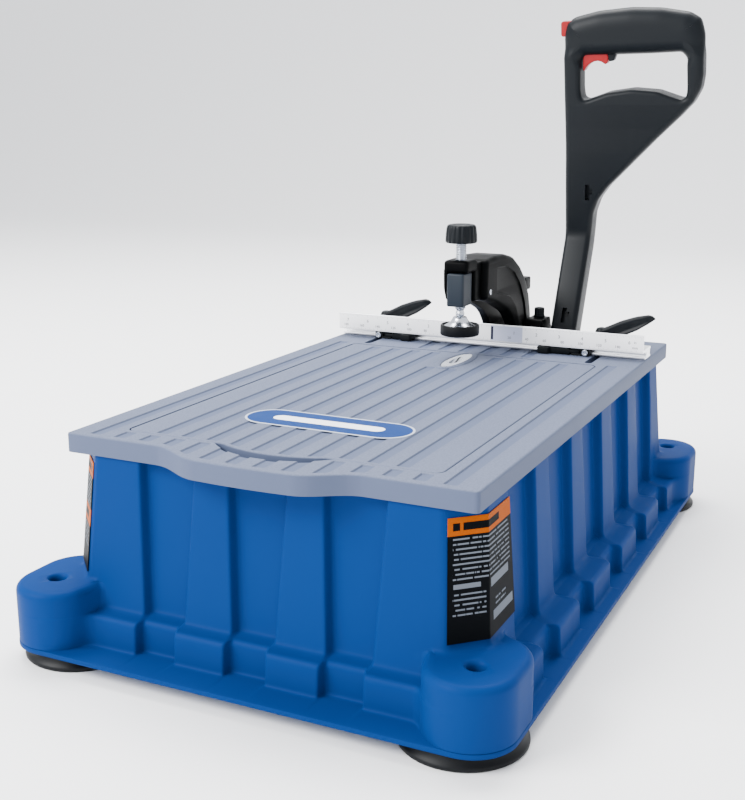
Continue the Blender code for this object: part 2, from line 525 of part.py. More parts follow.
# ---------------------------------------------------------------- clamp
def make_clamp():
    pivot = (0, SHAFT_Y, SHAFT_Z)
    side = ([(439, 247), (439, 288), (442, 291.5), (470, 293.5), (500, 290), (524, 282.5), (546, 270),
             (565, 253.5), (580, 233), (589, 212), (594, 190), (595, 165)]
            + arc(SHAFT_Y, SHAFT_Z, 22, 20, -200, 12)
            + [(549, 178), (541, 196), (535, 210), (526, 221), (513, 229.5), (495, 234.5), (470, 240)])
    arm = layered("clamp_arm", side, [(-ARM_HALF_X, 3.0), (-ARM_HALF_X + 3, 0), (ARM_HALF_X - 3, 0),
                                      (ARM_HALF_X, 3.0)], "X")
    fuse(arm, box("neck", (-11, 424.2, 249), (11, 441, 286)),
         box("ring", (-14.5, 400.5, 279), (14.5, 430, 297), 6.0),
         box("web", (-11, 424.2, 247), (11, 431, 285)),
         box("cheek", (-14.5, 404, 249), (-10.0, 431, 285)))
    cut(arm, rod("bore", SHAFT_R + BORE_GAP, (-30, SHAFT_Y, SHAFT_Z), (30, SHAFT_Y, SHAFT_Z), 28),
        rod("spin", SPINDLE_R + 0.5, (0, SPINDLE_Y, 240), (0, SPINDLE_Y, 320), 24),
        box("gut", (-9, 452, 205), (9, 620, 262)))
    fuse(arm, layered("boss", rounded(574, 591, 236, 250, 3), [(4, 0), (17, 0)], "X"))
    dress(arm, "black", pivot=pivot)
    block = layered("clamp_block", [(-9.4, 397.6), (9.4, 397.6), (9.4, 423.8), (-9.4, 423.8)],
                    [(244.5, 1.2), (246, 0), (277, 0), (278.6, 1.2)])
    cut(block, rod("bore", SPINDLE_R + 0.3, (0, SPINDLE_Y, 240), (0, SPINDLE_Y, 290), 24))
    dress(block, "paint", pivot=pivot)
    turned("arm_screw", [(0, 0), (3.0, 0), (3.0, 1.6), (0, 1.6)], 16,
           lambda x, y, h: (ARM_HALF_X + 0.05 + h, 451 + x, 254.4 + y), key="zinc", pivot=pivot)
    at = (0, SPINDLE_Y, PAD_Z0)
    h = PAD_Z0
    pad = turned("pad_rubber", [(0, h), (19.5, h), (PAD_R, h + 1), (PAD_R, h + 10.5), (19.5, h + 11.5),
                                (17.6, h + 11.5), (17.6, h + 7.5), (0, h + 7.5)], 32, upright(0, SPINDLE_Y))
    dress(pad, "rubber", True, at)
    cup = turned("pad_cup", [(0, h + 7.8), (17.3, h + 7.8), (17.3, h + 9.5), (12.5, h + 12.5),
                             (8.5, h + 16), (6.6, h + 19.5), (3.2, h + 19.5), (3.2, h + 12.5),
                             (0, h + 12.5)], 32, upright(0, SPINDLE_Y))
    dress(cup, "zinc", True, at)
    turned("clamp_spindle", [(0, h + 12.9), (2.9, h + 12.9), (2.9, h + 19.8), (4.6, h + 21.5),
                             (5.0, h + 24.5), (3.9, h + 27.5), (3.9, h + 29.5), (SPINDLE_R, h + 32),
                             (SPINDLE_R, KNOB_LOW - GAP), (0, KNOB_LOW - GAP)], 24,
           upright(0, SPINDLE_Y), key="zinc", pivot=at)
    verts = []
    n, lobes = 72, 18
    rows = [(14.6, KNOB_LOW, 1), (15.8, 311.0, 1), (15.6, 325.0, 1), (13.8, KNOB_TOP, 0.4)]
    for r, z, k in rows:
        for i in range(n):
            a = 2 * math.pi * i / n
            rr = r - 0.7 * k * (0.5 - 0.5 * math.cos(lobes * a))
            verts.append((rr * math.cos(a), SPINDLE_Y + rr * math.sin(a), z))
    faces = [(j * n + i, j * n + (i + 1) % n, (j + 1) * n + (i + 1) % n, (j + 1) * n + i)
             for j in range(3) for i in range(n)] + [tuple(range(n)), tuple(range(3 * n, 4 * n))]
    solid("clamp_knob", verts, faces, "black", True, at)


# ---------------------------------------------------------------- feed lever
def on_lever(x, t, n):
    """x across, t up the lever from the shaft axis, n towards the back; kinked at HANDLE_KINK."""
    a, b = math.radians(HANDLE_LEAN), math.radians(-HANDLE_NOD)
    u1, u2 = Vector((math.sin(a), math.cos(a))), Vector((math.sin(b), math.cos(b)))
    k = Vector((SHAFT_Y, SHAFT_Z)) + u1 * HANDLE_KINK
    mid = (u1 + u2).normalized()
    half = math.radians((HANDLE_LEAN + HANDLE_NOD) / 2)
    mitre = Vector((mid.y, -mid.x)) / math.cos(half)
    if abs(t - HANDLE_KINK) < 1e-6:
        p = k + mitre * n
    elif t < HANDLE_KINK:
        p = Vector((SHAFT_Y, SHAFT_Z)) + u1 * t + Vector((u1.y, -u1.x)) * n
    else:
        p = k + u2 * (t - HANDLE_KINK) + Vector((u2.y, -u2.x)) * n
    return (x, p.x, p.y)


def bent(ob):
    """Splits the flat part at the kink and folds it (mesh is in unfolded x, t, n until here)."""
    bm = bmesh.new()
    bm.from_mesh(ob.data)
    inv = lambda v: (v.x * 1000, v.y * 1000 + Y_ORIGIN, v.z * 1000)
    geom = bm.verts[:] + bm.edges[:] + bm.faces[:]
    bmesh.ops.bisect_plane(bm, geom=geom, dist=1e-7, plane_co=to_row((0, 0, HANDLE_KINK)),
                           plane_no=(0, 0, 1))
    for v in bm.verts:
        x, n, t = inv(v.co)
        if abs(t - HANDLE_KINK) < 1e-3:
            t = HANDLE_KINK
        v.co = to_row(on_lever(x, t, n))
    bmesh.ops.recalc_face_normals(bm, faces=bm.faces)
    bm.to_mesh(ob.data)
    bm.free()
    return ob


def make_lever():
    pivot = (0, SHAFT_Y, SHAFT_Z)
    k = HANDLE_KINK
    outline = ([(47, -6), (49, -14), (54, -18), (70, -18), (75.5, -14), (77, -6), (77, 60),
                (76.5, k), (79, k + 28), (85, k + 45), (96, k + 60), (150, k + 115), (176, k + 140)]
               + [(189, k + 154), (196.5, k + 168), (198.5, k + 182), (197.5, k + 225), (193, k + 241),
                  (181, k + 248), (150, k + 253.5), (118, k + 255), (82, k + 252.5), (56, k + 247),
                  (46.5, k + 241), (43.5, k + 228), (45.0, k + 150), (46, k + 100), (46, k)])
    hole = [(65, k + 160), (70, k + 157.5), (95, k + 166), (122, k + 169.5), (150, k + 167),
            (176, k + 158), (181, k + 160), (182, k + 168), (180.5, k + 200), (174, k + 207),
            (140, k + 206), (92, k + 205.5), (68, k + 205.5), (63.5, k + 200), (63.5, k + 170)]
    r = 5.0
    for name, a, b, i0, i1 in (("handle_front", -HANDLE_HALF_T, -0.15, 1, 0),
                               ("handle_back", 0.15, HANDLE_HALF_T, 0, 1)):
        lev = [(a, r if i0 else 0)]
        if i0:
            lev += [(a + 2, 1.8), (a + r, 0)]
        if i1:
            lev += [(b - r, 0), (b - 2, 1.8)]
        lev += [(b, r if i1 else 0)]
        shell = layered(name, outline, lev, "Y", [hole], at=lambda u, v, w: (u, w, v))
        if i0:
            # screw recesses
            for tx, tt in ((61.0, 62.0), (73.0, k + 54.0)):
                cut(shell, box("tee", (tx - 2.6, -16, tt - 9), (tx + 2.6, -8, tt + 9)),
                    box("tee", (tx - 1, -16, tt - 2), (tx + 6, -8, tt + 4.5)))
        cut(shell, box("pocket", (64.5, -6.0, k + 190), (94.5, 6.0, k + 222)),
            box("button", (38, -5.3, k + 225.5), (60, 5.3, k + 243.5)))
        bent(shell)
        cut(shell, rod("bore", SHAFT_R - 0.4, (30, SHAFT_Y, SHAFT_Z), (90, SHAFT_Y, SHAFT_Z), 28))
        dress(shell, "black", pivot=pivot)
    rod("pivot_shaft", SHAFT_R - 0.7, (-40, SHAFT_Y, SHAFT_Z), (97, SHAFT_Y, SHAFT_Z), 28,
        key="steel", pivot=pivot)
    trig = [(66, k + 190), (68, k + 189), (72, k + 195.5), (78, k + 199), (85, k + 199.5),
            (90, k + 196.5), (93.5, k + 197.5), (93.5, k + 206), (89, k + 216), (66, k + 216)]
    t = layered("trigger", trig, [(-5.6, 0.8), (-4.8, 0), (4.8, 0), (5.6, 0.8)], "Y",
                at=lambda u, v, w: (u, w, v))
    bent(t)
    dress(t, "red", pivot=on_lever(80, k + 200, 0))
    b = layered("lock_button", [(39.5, k + 227.5), (41.5, k + 226), (54, k + 226), (54, k + 243),
                                (41.5, k + 243), (39.5, k + 241.5)], [(-4.9, 0.8), (-4.1, 0), (4.1, 0),
                                                                      (4.9, 0.8)], "Y",
                at=lambda u, v, w: (u, w, v))
    bent(b)
    dress(b, "red", pivot=on_lever(45, k + 234.5, 0))


# ---------------------------------------------------------------- pivot block and inner works
def make_works():
    blk = layered("pivot_block", [(556, 120), (597, 120), (597, 196), (592, 209), (562, 209), (556, 200)],
                  [(22.6, 0), (43.6, 0)], "X")
    cut(blk, rod("bore", SHAFT_R + BORE_GAP, (10, SHAFT_Y, SHAFT_Z), (50, SHAFT_Y, SHAFT_Z), 28),
        rod("tap", 3.3, (34, 579, 185), (34, 579, 230), 16))
    dress(blk, "paint")
    turned("pivot_bolt", [(0, 187), (3.0, 187), (3.0, 209.3), (5.8, 209.3), (5.8, 219), (5.2, 220.5),
                          (3.2, 220.5), (2.8, 216.5), (0, 216.5)], 20, upright(34, 579), key="paint")
    for name, x0, x1 in (("pivot_plate_l", -38, -26.6), ("pivot_plate_r", 84.6, 95)):
        plate = [(548, 118), (598, 118), (598, 165), (590, 170.4), (548, 170.4)]
        p = layered(name, plate, [(x0, 0), (x1, 0)], "X")
        cut(p, rod("bore", SHAFT_R + BORE_GAP, (x0 - 5, SHAFT_Y, SHAFT_Z), (x1 + 5, SHAFT_Y, SHAFT_Z),
                   28))
        dress(p, "steel")
    for name, y0, y1, z0, z1, s in (("rod_bracket_front", 20.0, 26.0, 30.0, 74.0, None),
                                    ("rod_bracket_rear", 322.0, 328.0, 100.0, 148.0, None)):
        pts = [(-143, 170.4), (-133, 170.4), (-133, z1 + 14), (-120, z1), (120, z1), (133, z1 + 14),
               (133, 170.4), (143, 170.4), (143, z0 + 12), (132, z0), (-132, z0), (-143, z0 + 12)]
        b = layered(name, pts, [(y0, 0), (y1, 0)], "Y")
        for x in (-ROD_X, ROD_X):
            cut(b, rod("h", ROD_R + GAP, axis_point(-430, ROD_N, x), axis_point(-60, ROD_N, x), 20))
        dress(b, "steel")
    for side, x in (("l", -ROD_X), ("r", ROD_X)):
        rod("guide_rod_" + side, ROD_R, axis_point(-409, ROD_N, x), axis_point(-88, ROD_N, x),
            20, key="zinc")
    pivot = axis_point(TIP_S)
    car = layered("carriage", [(-66, -46), (66, -46), (66, -24), (40, -24), (30, -30), (-30, -30),
                               (-40, -24), (-66, -24)], [(-378, 0), (-262, 0)], "Z",
                  at=lambda u, v, w: axis_point(w, v, u))
    for x in (-ROD_X, ROD_X):
        cut(car, rod("h", ROD_R + GAP, axis_point(-400, ROD_N, x), axis_point(-240, ROD_N, x), 20))
    cut(car, rod("m", 34.0 + GAP, axis_point(-400), axis_point(-240), 40))
    dress(car, "paint", pivot=pivot)
    turned("motor_body", [(0, -385), (28, -385), (34, -378), (34, -259), (0, -259)], 40, along_bore,
           key="paint", pivot=pivot)
    turned("gearcase", [(0, -258.7), (32, -258.7), (32, -250), (22, -222), (15, -216), (15, -200),
                        (3.7, -200), (3.7, -215), (0, -215)], 32, along_bore, key="alu", pivot=pivot)
    turned("chuck", [(0, -214), (3.4, -214), (3.4, -199.5), (12.0, -199.5), (13, -197), (13, -178),
                     (9, -164), (BIT_R + 0.3, -163), (BIT_R + 0.3, -190),
                     (0, -190)], 24, along_bore, key="steel", pivot=pivot)
    turned("drill_bit", [(0, -189.5), (BIT_R, -189.5), (BIT_R, TIP_S - 14), (1.9, TIP_S - 13),
                         (1.9, TIP_S - 2), (0, TIP_S)], 20, along_bore, key="zinc", pivot=pivot)
    turned("depth_collar", [(BIT_R + 0.3, -152), (8, -152), (8, -142),
                            (BIT_R + 0.3, -142)], 20, along_bore,
           key="steel", pivot=pivot)
    # cord entry gland in the back wall
    turned("cord_gland", [(4.0, -26), (7.9, -26), (7.9, 1.2), (11.0, 1.2), (10.0, 6.0), (6.5, 8.0),
                          (6.0, 16.0),
                          (4.0, 16.0)], 20, lambda x, y, h: (-41.4 + x, 598.6 + h, 62 + y), key="black")
    # caution labels wrapped over the front corner chamfers
    for side, s in (("l", -1), ("r", 1)):
        def wall(z):
            f = (z - WALL_Z0) / (TABLE_TOP - TABLE_THICK - GAP - WALL_Z0)
            return (WALL_X_FOOT + 0.6 + (WALL_X_TOP - WALL_X_FOOT - 0.6) * f,
                    WALL_Y_FOOT - 0.6 + (WALL_Y_TOP - WALL_Y_FOOT + 0.6) * f)
        rows = []
        for z in (72.0, 163.0):
            x, y = wall(z)
            for d in (0.35, 0.75):
                o = d * 0.414
                rows.append([(s * (x - CHAMFER + 2 + d * 0.7), y - d * 0.7 + 2, z),
                             (s * (x + d), y + CHAMFER - o, z), (s * (x + d), 70.0, z)])
        verts = [p for r in rows for p in r]
        faces = []
        for a, b in ((0, 3), (6, 9)):
            faces += [(a + i, a + i + 1, b + i + 1, b + i) for i in range(2)]
        for a, b in ((0, 6), (3, 9)):
            faces += [(a + i, a + i + 1, b + i + 1, b + i) for i in range(2)]
        faces += [(0, 3, 9, 6), (2, 5, 11, 8)]
        solid("caution_label_" + side, verts, faces, "orange")


for old in list(bpy.data.objects):
    bpy.data.objects.remove(old, do_unlink=True)
make_base()
make_feet()
make_table()
make_lid()
make_fence()
make_clamp()
make_lever()
make_works()
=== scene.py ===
"""Benchtop pocket-hole boring machine: moulded blue base on rubber feet, grey ribbed table with a lift
lid, aluminium fence with a printed rule, hold-down clamp arm and a D-grip feed lever.

Shapes are worked out in millimetres, x across the machine, y from the table's straight front edge and
z from the floor, and placed() turns them into the frame's metres."""
import math

import bmesh
import bpy
import numpy as np
from mathutils import Matrix, Vector
from mathutils.geometry import tessellate_polygon


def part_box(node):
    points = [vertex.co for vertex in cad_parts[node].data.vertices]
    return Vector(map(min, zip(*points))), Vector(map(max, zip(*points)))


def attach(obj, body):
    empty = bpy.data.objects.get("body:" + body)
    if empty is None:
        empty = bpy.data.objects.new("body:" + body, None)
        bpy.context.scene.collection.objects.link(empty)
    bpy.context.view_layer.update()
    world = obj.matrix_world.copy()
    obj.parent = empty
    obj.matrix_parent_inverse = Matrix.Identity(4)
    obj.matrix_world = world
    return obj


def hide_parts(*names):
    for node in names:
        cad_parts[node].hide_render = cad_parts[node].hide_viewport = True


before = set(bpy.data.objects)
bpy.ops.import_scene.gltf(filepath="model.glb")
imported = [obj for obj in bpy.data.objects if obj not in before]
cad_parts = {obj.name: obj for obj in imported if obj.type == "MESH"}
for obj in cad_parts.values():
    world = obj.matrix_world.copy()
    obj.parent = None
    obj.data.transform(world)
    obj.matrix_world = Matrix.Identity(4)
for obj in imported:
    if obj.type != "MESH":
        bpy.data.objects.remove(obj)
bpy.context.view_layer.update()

# ---------------------------------------------------------------- camera, floor and lights
# A long-lens studio view from the front right, a seamless pale floor that curves up behind, and
# large soft lamps: one above and to the left, one low in front, one broad one overhead behind.
eye = Vector((0.4453, -1.0221, 0.4375))
ahead, across = Vector((-0.4225, 0.8750, -0.2363)), Vector((0.9005, 0.4348, 0.0))
ahead.normalize()
across.normalize()
above = across.cross(ahead)
lens = bpy.data.cameras.new("studio_camera")
lens.sensor_width, lens.lens, lens.clip_end = 36.0, 52.70, 60.0
camera = bpy.data.objects.new("studio_camera", lens)
camera.matrix_world = Matrix.Translation(eye) @ Matrix((across, above, -ahead)).transposed().to_4x4()
bpy.context.scene.collection.objects.link(camera)
bpy.context.scene.camera = camera


def placed_mesh(name, points, faces, smooth=True):
    """Object at the origin whose mesh has these points, in metres, and faces."""
    mesh = bpy.data.meshes.new(name)
    mesh.from_pydata(np.asarray(points).reshape(-1, 3).tolist(), [], [list(f) for f in faces])
    mesh.validate()
    if smooth:
        mesh.shade_smooth()
    made = bpy.data.objects.new(name, mesh)
    bpy.context.scene.collection.objects.link(made)
    return made


def grid_faces(rows, cols, round_rows=False, round_cols=False):
    """Quads of a grid of points; a round direction joins its last line to its first."""
    j, i = np.meshgrid(np.arange(rows - (not round_rows)), np.arange(cols - (not round_cols)),
                       indexing="ij")
    j, i, jn, im = j.ravel(), i.ravel(), ((j + 1) % rows).ravel(), ((i + 1) % cols).ravel()
    return np.stack([j * cols + i, j * cols + im, jn * cols + im, jn * cols + i], 1)


sweep = np.linspace(0, math.pi / 2, 13)
floor_y = np.concatenate([[-6.0, 3.0], 3.0 + 2.0 * np.sin(sweep[1:]), [5.0]])
floor_z = np.concatenate([[0.0, 0.0], 2.0 - 2.0 * np.cos(sweep[1:]), [7.0]])
floor_x = np.linspace(-7.0, 7.0, 9)
floor_points = np.stack([np.broadcast_to(floor_x, (floor_y.size, 9)),
                         np.broadcast_to(floor_y[:, None], (floor_y.size, 9)),
                         np.broadcast_to(floor_z[:, None], (floor_y.size, 9))], -1)
floor = placed_mesh("studio_floor", floor_points, grid_faces(floor_y.size, 9))
paper = bpy.data.materials.new("pale_floor")
paper.use_nodes = True
paper.node_tree.nodes["Principled BSDF"].inputs["Base Color"].default_value = (0.93, 0.93, 0.93, 1)
paper.node_tree.nodes["Principled BSDF"].inputs["Roughness"].default_value = 0.9
floor.data.materials.append(paper)

sky = bpy.data.worlds.new("studio_air")
sky.use_nodes = True
sky.node_tree.nodes["Background"].inputs["Color"].default_value = (0.93, 0.95, 1.0, 1)
sky.node_tree.nodes["Background"].inputs["Strength"].default_value = 1.5
bpy.context.scene.world = sky

for name, spot, target, size, watts in (
        ("lamp_key", (-1.7, -2.1, 2.1), (0, 0, 0.15), (1.7, 1.3), 195),
        ("lamp_front", (-0.9, -2.9, 0.8), (0, 0, 0.12), (1.8, 0.9), 22),
        ("lamp_top", (-0.5, 0.9, 2.8), (0, 0.1, 0.1), (2.6, 1.4), 240)):
    bulb = bpy.data.lights.new(name, "AREA")
    bulb.shape, bulb.size, bulb.size_y, bulb.energy = "RECTANGLE", *size, watts
    lamp = bpy.data.objects.new(name, bulb)
    lamp.location = spot
    lamp.rotation_euler = (Vector(target) - Vector(spot)).to_track_quat("-Z", "Y").to_euler()
    bpy.context.scene.collection.objects.link(lamp)

# ---------------------------------------------------------------- base shell
# One hollow moulding in satin blue plastic: a corrugated wall on a stepped tier with a thin flange,
# and a hollow pod at each corner with a bolt hole. It stands on the feet and carries the table.
TABLE_LONG = 600.1
ZERO_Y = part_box("table_top")[1].y * 1000 - TABLE_LONG      # frame y of the table's straight front edge
MIDDLE = 295.4                             # y of the base's middle
STEP, CHAMFER, WALL_TOP = 8.5, 24.0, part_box("base_shell")[1].z * 1000
POD_AT, POD_BACK, POD_ROUND, POD_TOP = (182.0, 310.4), 285.4, 35.7, 65.3
FRONT_PANELS, SIDE_PANELS = np.array([-82.8, 0.0, 82.8]), 99.0 * np.arange(-2, 3) + 3.6
TURN = (140.0, 265.4)                      # middle of each corner's fan of columns


def placed(points):
    """Machine millimetres to metres in the frame."""
    points = np.asarray(points, float)
    return points * 0.001 + np.array([0.0, ZERO_Y * 0.001, 0.0])


def soft_max(a, b, k):
    """The larger of two, blended by a parabola where they differ by less than k."""
    h = np.clip(k - np.abs(a - b), 0, None) / k
    return np.maximum(a, b) + h * h * k / 4


def box_distance(x, y, half_x, half_y, r):
    """Distance outside a rounded rectangle, from its far corner's centre of rounding."""
    qx, qy = x - half_x + r, y - half_y + r
    return np.hypot(np.maximum(qx, 0), np.maximum(qy, 0)) + np.minimum(np.maximum(qx, qy), 0) - r


def chamfered(x, y, half_x, half_y):
    """The wall's outline: a rectangle whose corners are cut at 45 degrees and eased."""
    bevel = (x - half_x + y - half_y + CHAMFER) / math.sqrt(2)
    return soft_max(box_distance(x, y, half_x, half_y, 1.0), bevel, 3.0)


def pod(x, y, inset):
    """Distance outside a pod: a round-ended slot running back from the corner."""
    return np.hypot(x - POD_AT[0], y - np.clip(y, POD_BACK, POD_AT[1])) - (POD_ROUND - inset)


def reach(spine, heading, outside):
    """How far along each heading the outline lies, by halving the span again and again."""
    low = np.zeros(np.broadcast(spine[0], outside(spine[0], spine[1])).shape)
    high = low + 130.0
    for _ in range(24):
        half = (low + high) / 2
        out = outside(np.abs(spine[0] + heading[0] * half), np.abs(spine[1] + heading[1] * half)) > 0
        low, high = np.where(out, low, half), np.where(out, half, high)
    return (low + high) / 2


near = np.array([-4.2, -2.6, -1.8, -1.2, -0.6, 0.0, 0.6, 1.2, 1.8, 2.6, 4.2])


def side_columns(panels, end, extra):
    """Columns along one side, as (panel middle, sign of the panel's edge, shift from that edge)."""
    rows = [(-end, 0, 0.0)] + [(-e, 0, 0.0) for e in extra]
    for c in panels:
        rows += [(c, -1, d) for d in near] + [(c, 0, -9.0), (c, 0, 9.0)] + [(c, 1, d) for d in near]
    rows += [((a + b) / 2, 0, d) for a, b in zip(panels, panels[1:]) for d in (-6.0, 6.0)]
    rows += [(e, 0, 0.0) for e in extra]
    width = (18.0, 25.0)[len(panels) > 3]
    return np.array(sorted(rows, key=lambda r: r[0] + r[1] * width + r[2]))


front_cols = side_columns(FRONT_PANELS, TURN[0], (122.0, 132.0))
side_cols = side_columns(SIDE_PANELS, TURN[1], (231, 235, 239, 243, 247, 250, 253, 256, 259, 262)[::-1])
fan = np.radians(90 * np.linspace(0, 1, 64, endpoint=False))
kind, middle, sign, shift, bearing, corner_x, corner_y = [], [], [], [], [], [], []
for quarter, cols in enumerate((front_cols, side_cols, front_cols, side_cols)):
    n, toward = len(cols), (1, 1, -1, -1)[quarter]
    kind += [quarter] * n + [4] * fan.size
    middle += list(cols[:, 0] * toward) + [0] * fan.size
    sign += list(cols[:, 1] * toward) + [0] * fan.size
    shift += list(cols[:, 2] * toward) + [0] * fan.size
    bearing += [math.pi / 2 * (quarter - 1)] * n + list(math.pi / 2 * (quarter - 1) + fan)
    corner_x += [0] * n + [TURN[0] * (1, 1, -1, -1)[quarter]] * fan.size
    corner_y += [0] * n + [TURN[1] * (-1, 1, 1, -1)[quarter]] * fan.size
kind, middle, sign, shift, bearing, corner_x, corner_y = map(
    np.array, (kind, middle, sign, shift, bearing, corner_x, corner_y))
facing = np.stack([np.cos(bearing), np.sin(bearing)])
is_front, is_side = np.isin(kind, (0, 2)), np.isin(kind, (1, 3))

# each level of the outer skin: height, step inwards, share of the way from tier to wall
arc9 = np.radians(np.linspace(0, 90, 7))
levels = [(12.3, "flange", 0.8), (12.9, "flange", 0.0), (15.6, "flange", 0.0), (16.5, "flange", 0.4),
          (16.8, "flange", 1.6), (16.8, "skirt", 3.4), (17.1, "tier", -1.8), (17.7, "tier", -0.8),
          (18.8, "tier", -0.2), (20.5, "tier", 0.0), (30.0, "tier", 0.4)]
levels += [(38.3 + 5.2 * math.sin(a), "tier", 0.8 + 5.2 * (1 - math.cos(a))) for a in arc9]
levels += [(44.2, "ledge", 0.35), (45.0, "ledge", 0.62), (45.9, "ledge", 0.82), (47.0, "ledge", 0.92),
           (48.6, "ledge", 0.975), (50.8, "wall", 0.0), (54.0, "wall", 0.0)]
levels += [(POD_TOP - 6.5 + 6.5 * math.sin(a), "wall", 6.5 * (1 - math.cos(a))) for a in arc9]
levels += [(POD_TOP + 0.03 * k, "top", f) for k, f in enumerate((0.8, 0.6, 0.4, 0.2), 1)]
levels += [(POD_TOP + 0.3, "root", 4.0), (POD_TOP + 0.9, "root", 1.8), (POD_TOP + 2.0, "root", 0.6),
           (POD_TOP + 4.0, "root", 0.0)]
levels += [(z, "root", 0.0) for z in (84.0, 106.0, 128.0, 150.0, WALL_TOP)]
inner = [(WALL_TOP, 1.0), (110.0, 1.0), (50.0, 1.0), (40.0, 0.0), (12.3, 0.0)]


def wall_half(z):
    """Half sizes of the wall at a height: it leans in as it rises."""
    f = np.clip((z - 48.0) / (WALL_TOP - 48.0), 0, 1)
    return 184.6 - 8.6 * f, MIDDLE + 8.6 - 10.9 * f


def ring(z, stage, value):
    """One level of the base's skin, as x and y about the middle: every column's spine point plus its
    reach, less the depth of the panel it crosses."""
    up = np.clip((z - 48.0) / (WALL_TOP - 48.0), 0, 1)
    if stage in ("flange", "skirt", "tier"):
        wide_front, wide_side = 17.5, 20.0
    else:
        wide_front, wide_side = 18.5 + 6.5 * up, 27.0 + 4.0 * up
    if stage == "ledge":
        wide_front, wide_side = 17.5 + value * (wide_front - 17.5), 20.0 + value * (wide_side - 20.0)
    wide = np.where(is_front, wide_front, wide_side)
    along = middle + sign * wide + shift
    spine = (np.where(is_front, along, np.where(is_side, TURN[0] * facing[0], corner_x)),
             np.where(is_side, along, np.where(is_front, TURN[1] * facing[1], corner_y)))
    panels = np.where(is_front[:, None], np.pad(FRONT_PANELS, (0, 2), constant_values=9e3), SIDE_PANELS)
    panels = np.where((kind >= 2)[:, None], -panels, panels)
    sunk = 0.5 * (np.tanh((along[:, None] - panels + wide[:, None]) / 1.15)
                  - np.tanh((along[:, None] - panels - wide[:, None]) / 1.15)).sum(1)
    sunk = STEP * np.where(kind == 4, 0.0, sunk)
    wx, wy = wall_half(z)
    plain = lambda x, y: chamfered(x, y, wx, wy)
    edge = lambda x, y: box_distance(x, y, 217.7, 346.2, 36.0)
    block = lambda x, y: box_distance(x, y, 205.8, 319.2, 6.0)
    join = lambda f, inset: (lambda x, y: -soft_max(-f(x, y), -pod(x, y, inset), 9.0))
    if stage == "flange":
        far = reach(spine, facing, edge) - value
    elif stage == "skirt":
        low = reach(spine, facing, join(block, 0.0)) - sunk + value
        far = np.minimum(low, reach(spine, facing, edge) - 1.7)
    elif stage == "tier":
        body = lambda x, y: block(x, y) + value
        far = reach(spine, facing, join(body, 0.0)) - sunk
        far = np.minimum(far, reach(spine, facing, edge) - 0.3)
    elif stage == "ledge":
        a, b = reach(spine, facing, block) - 6.0, reach(spine, facing, plain)
        flat = a + (b - a) * value
        bulge = reach(spine, facing, join(plain, 0.3))
        far = flat + np.clip(bulge - b, 0, None) * np.clip((bulge - flat) / (bulge - b + 1e-6), 0, 1)
        far = far - sunk
    else:
        bare = reach(spine, facing, plain)
        full = reach(spine, facing, join(plain, 0.3 + (value if stage == "wall" else 6.5)))
        proud = np.clip(full - bare, 0, None)
        if stage == "top":
            proud = proud * value
        if stage == "root":
            proud = np.minimum(proud, value)
        far = bare + proud - sunk
    return np.stack([spine[0] + facing[0] * far, spine[1] + facing[1] * far + MIDDLE,
                     np.full(far.shape, z)], -1)


def lining(z, high):
    """One level of the inside face, a plain octagon inside the corrugations."""
    spine = (np.where(is_front, middle, np.where(is_side, TURN[0] * facing[0], corner_x)),
             np.where(is_side, middle, np.where(is_front, TURN[1] * facing[1], corner_y)))
    wx, wy = wall_half(z) if high else (205.0, 318.4)
    far = reach(spine, facing, lambda x, y: chamfered(x, y, wx, wy)) - STEP - 4.0
    return np.stack([spine[0] + facing[0] * far, spine[1] + facing[1] * far + MIDDLE,
                     np.full(far.shape, z)], -1)


def carve(piece, cutters, how="DIFFERENCE"):
    """Cuts closed cutters out of a closed piece, and keeps the result as its mesh."""
    for cutter in cutters:
        mod = piece.modifiers.new("carve", "BOOLEAN")
        mod.operation, mod.solver, mod.object = how, "MANIFOLD", cutter
        result = bpy.data.meshes.new_from_object(
            piece.evaluated_get(bpy.context.evaluated_depsgraph_get()))
        piece.modifiers.clear()
        piece.data = result
        bpy.data.objects.remove(cutter, do_unlink=True)
    result.name = piece.name
    return piece


def crease(piece, degrees=40):
    """Smooth shading with an edge kept sharp wherever faces meet at more than this angle."""
    piece.data.shade_smooth()
    piece.data.set_sharp_from_angle(angle=math.radians(degrees))
    return piece


def lathe(name, profile, at, sides=64, toward=(0, 0, 1)):
    """Profile of (radius, distance) turned round the line from a point towards a direction. Both ends
    close on the line, or join each other to make a ring."""
    profile = np.array(profile, float)
    ring_like = profile[0, 0] > 0 and profile[-1, 0] > 0
    w = np.array(Vector(toward).normalized())
    u = np.cross([0, 0, 1.0], w) if abs(w[2]) < 0.99 else np.array([1.0, 0, 0])
    u /= np.linalg.norm(u)
    v = np.cross(w, u)
    a = 2 * math.pi * np.arange(sides) / sides
    spokes = np.cos(a)[:, None] * u + np.sin(a)[:, None] * v
    rings = np.array(at, float) + profile[:, :1, None] * spokes + profile[:, 1:, None] * w
    turned = placed_mesh(name, placed(rings), grid_faces(len(profile), sides, ring_like, True))
    return welded(turned)


def welded(piece, gap=1e-7):
    """Merges points that coincide and turns the faces outwards."""
    bm = bmesh.new()
    bm.from_mesh(piece.data)
    bmesh.ops.remove_doubles(bm, verts=bm.verts, dist=gap)
    bmesh.ops.dissolve_degenerate(bm, edges=bm.edges, dist=gap)
    bmesh.ops.recalc_face_normals(bm, faces=bm.faces)
    bm.to_mesh(piece.data)
    bm.free()
    return piece


def bore(radius, start, end, at=(0, 0, 0), sides=40, toward=(0, 0, 1)):
    """Round closed cutter of one radius between two distances from a point towards a direction."""
    return lathe("cutter", [(0, start), (radius, start), (radius, end), (0, end)], at, sides, toward)


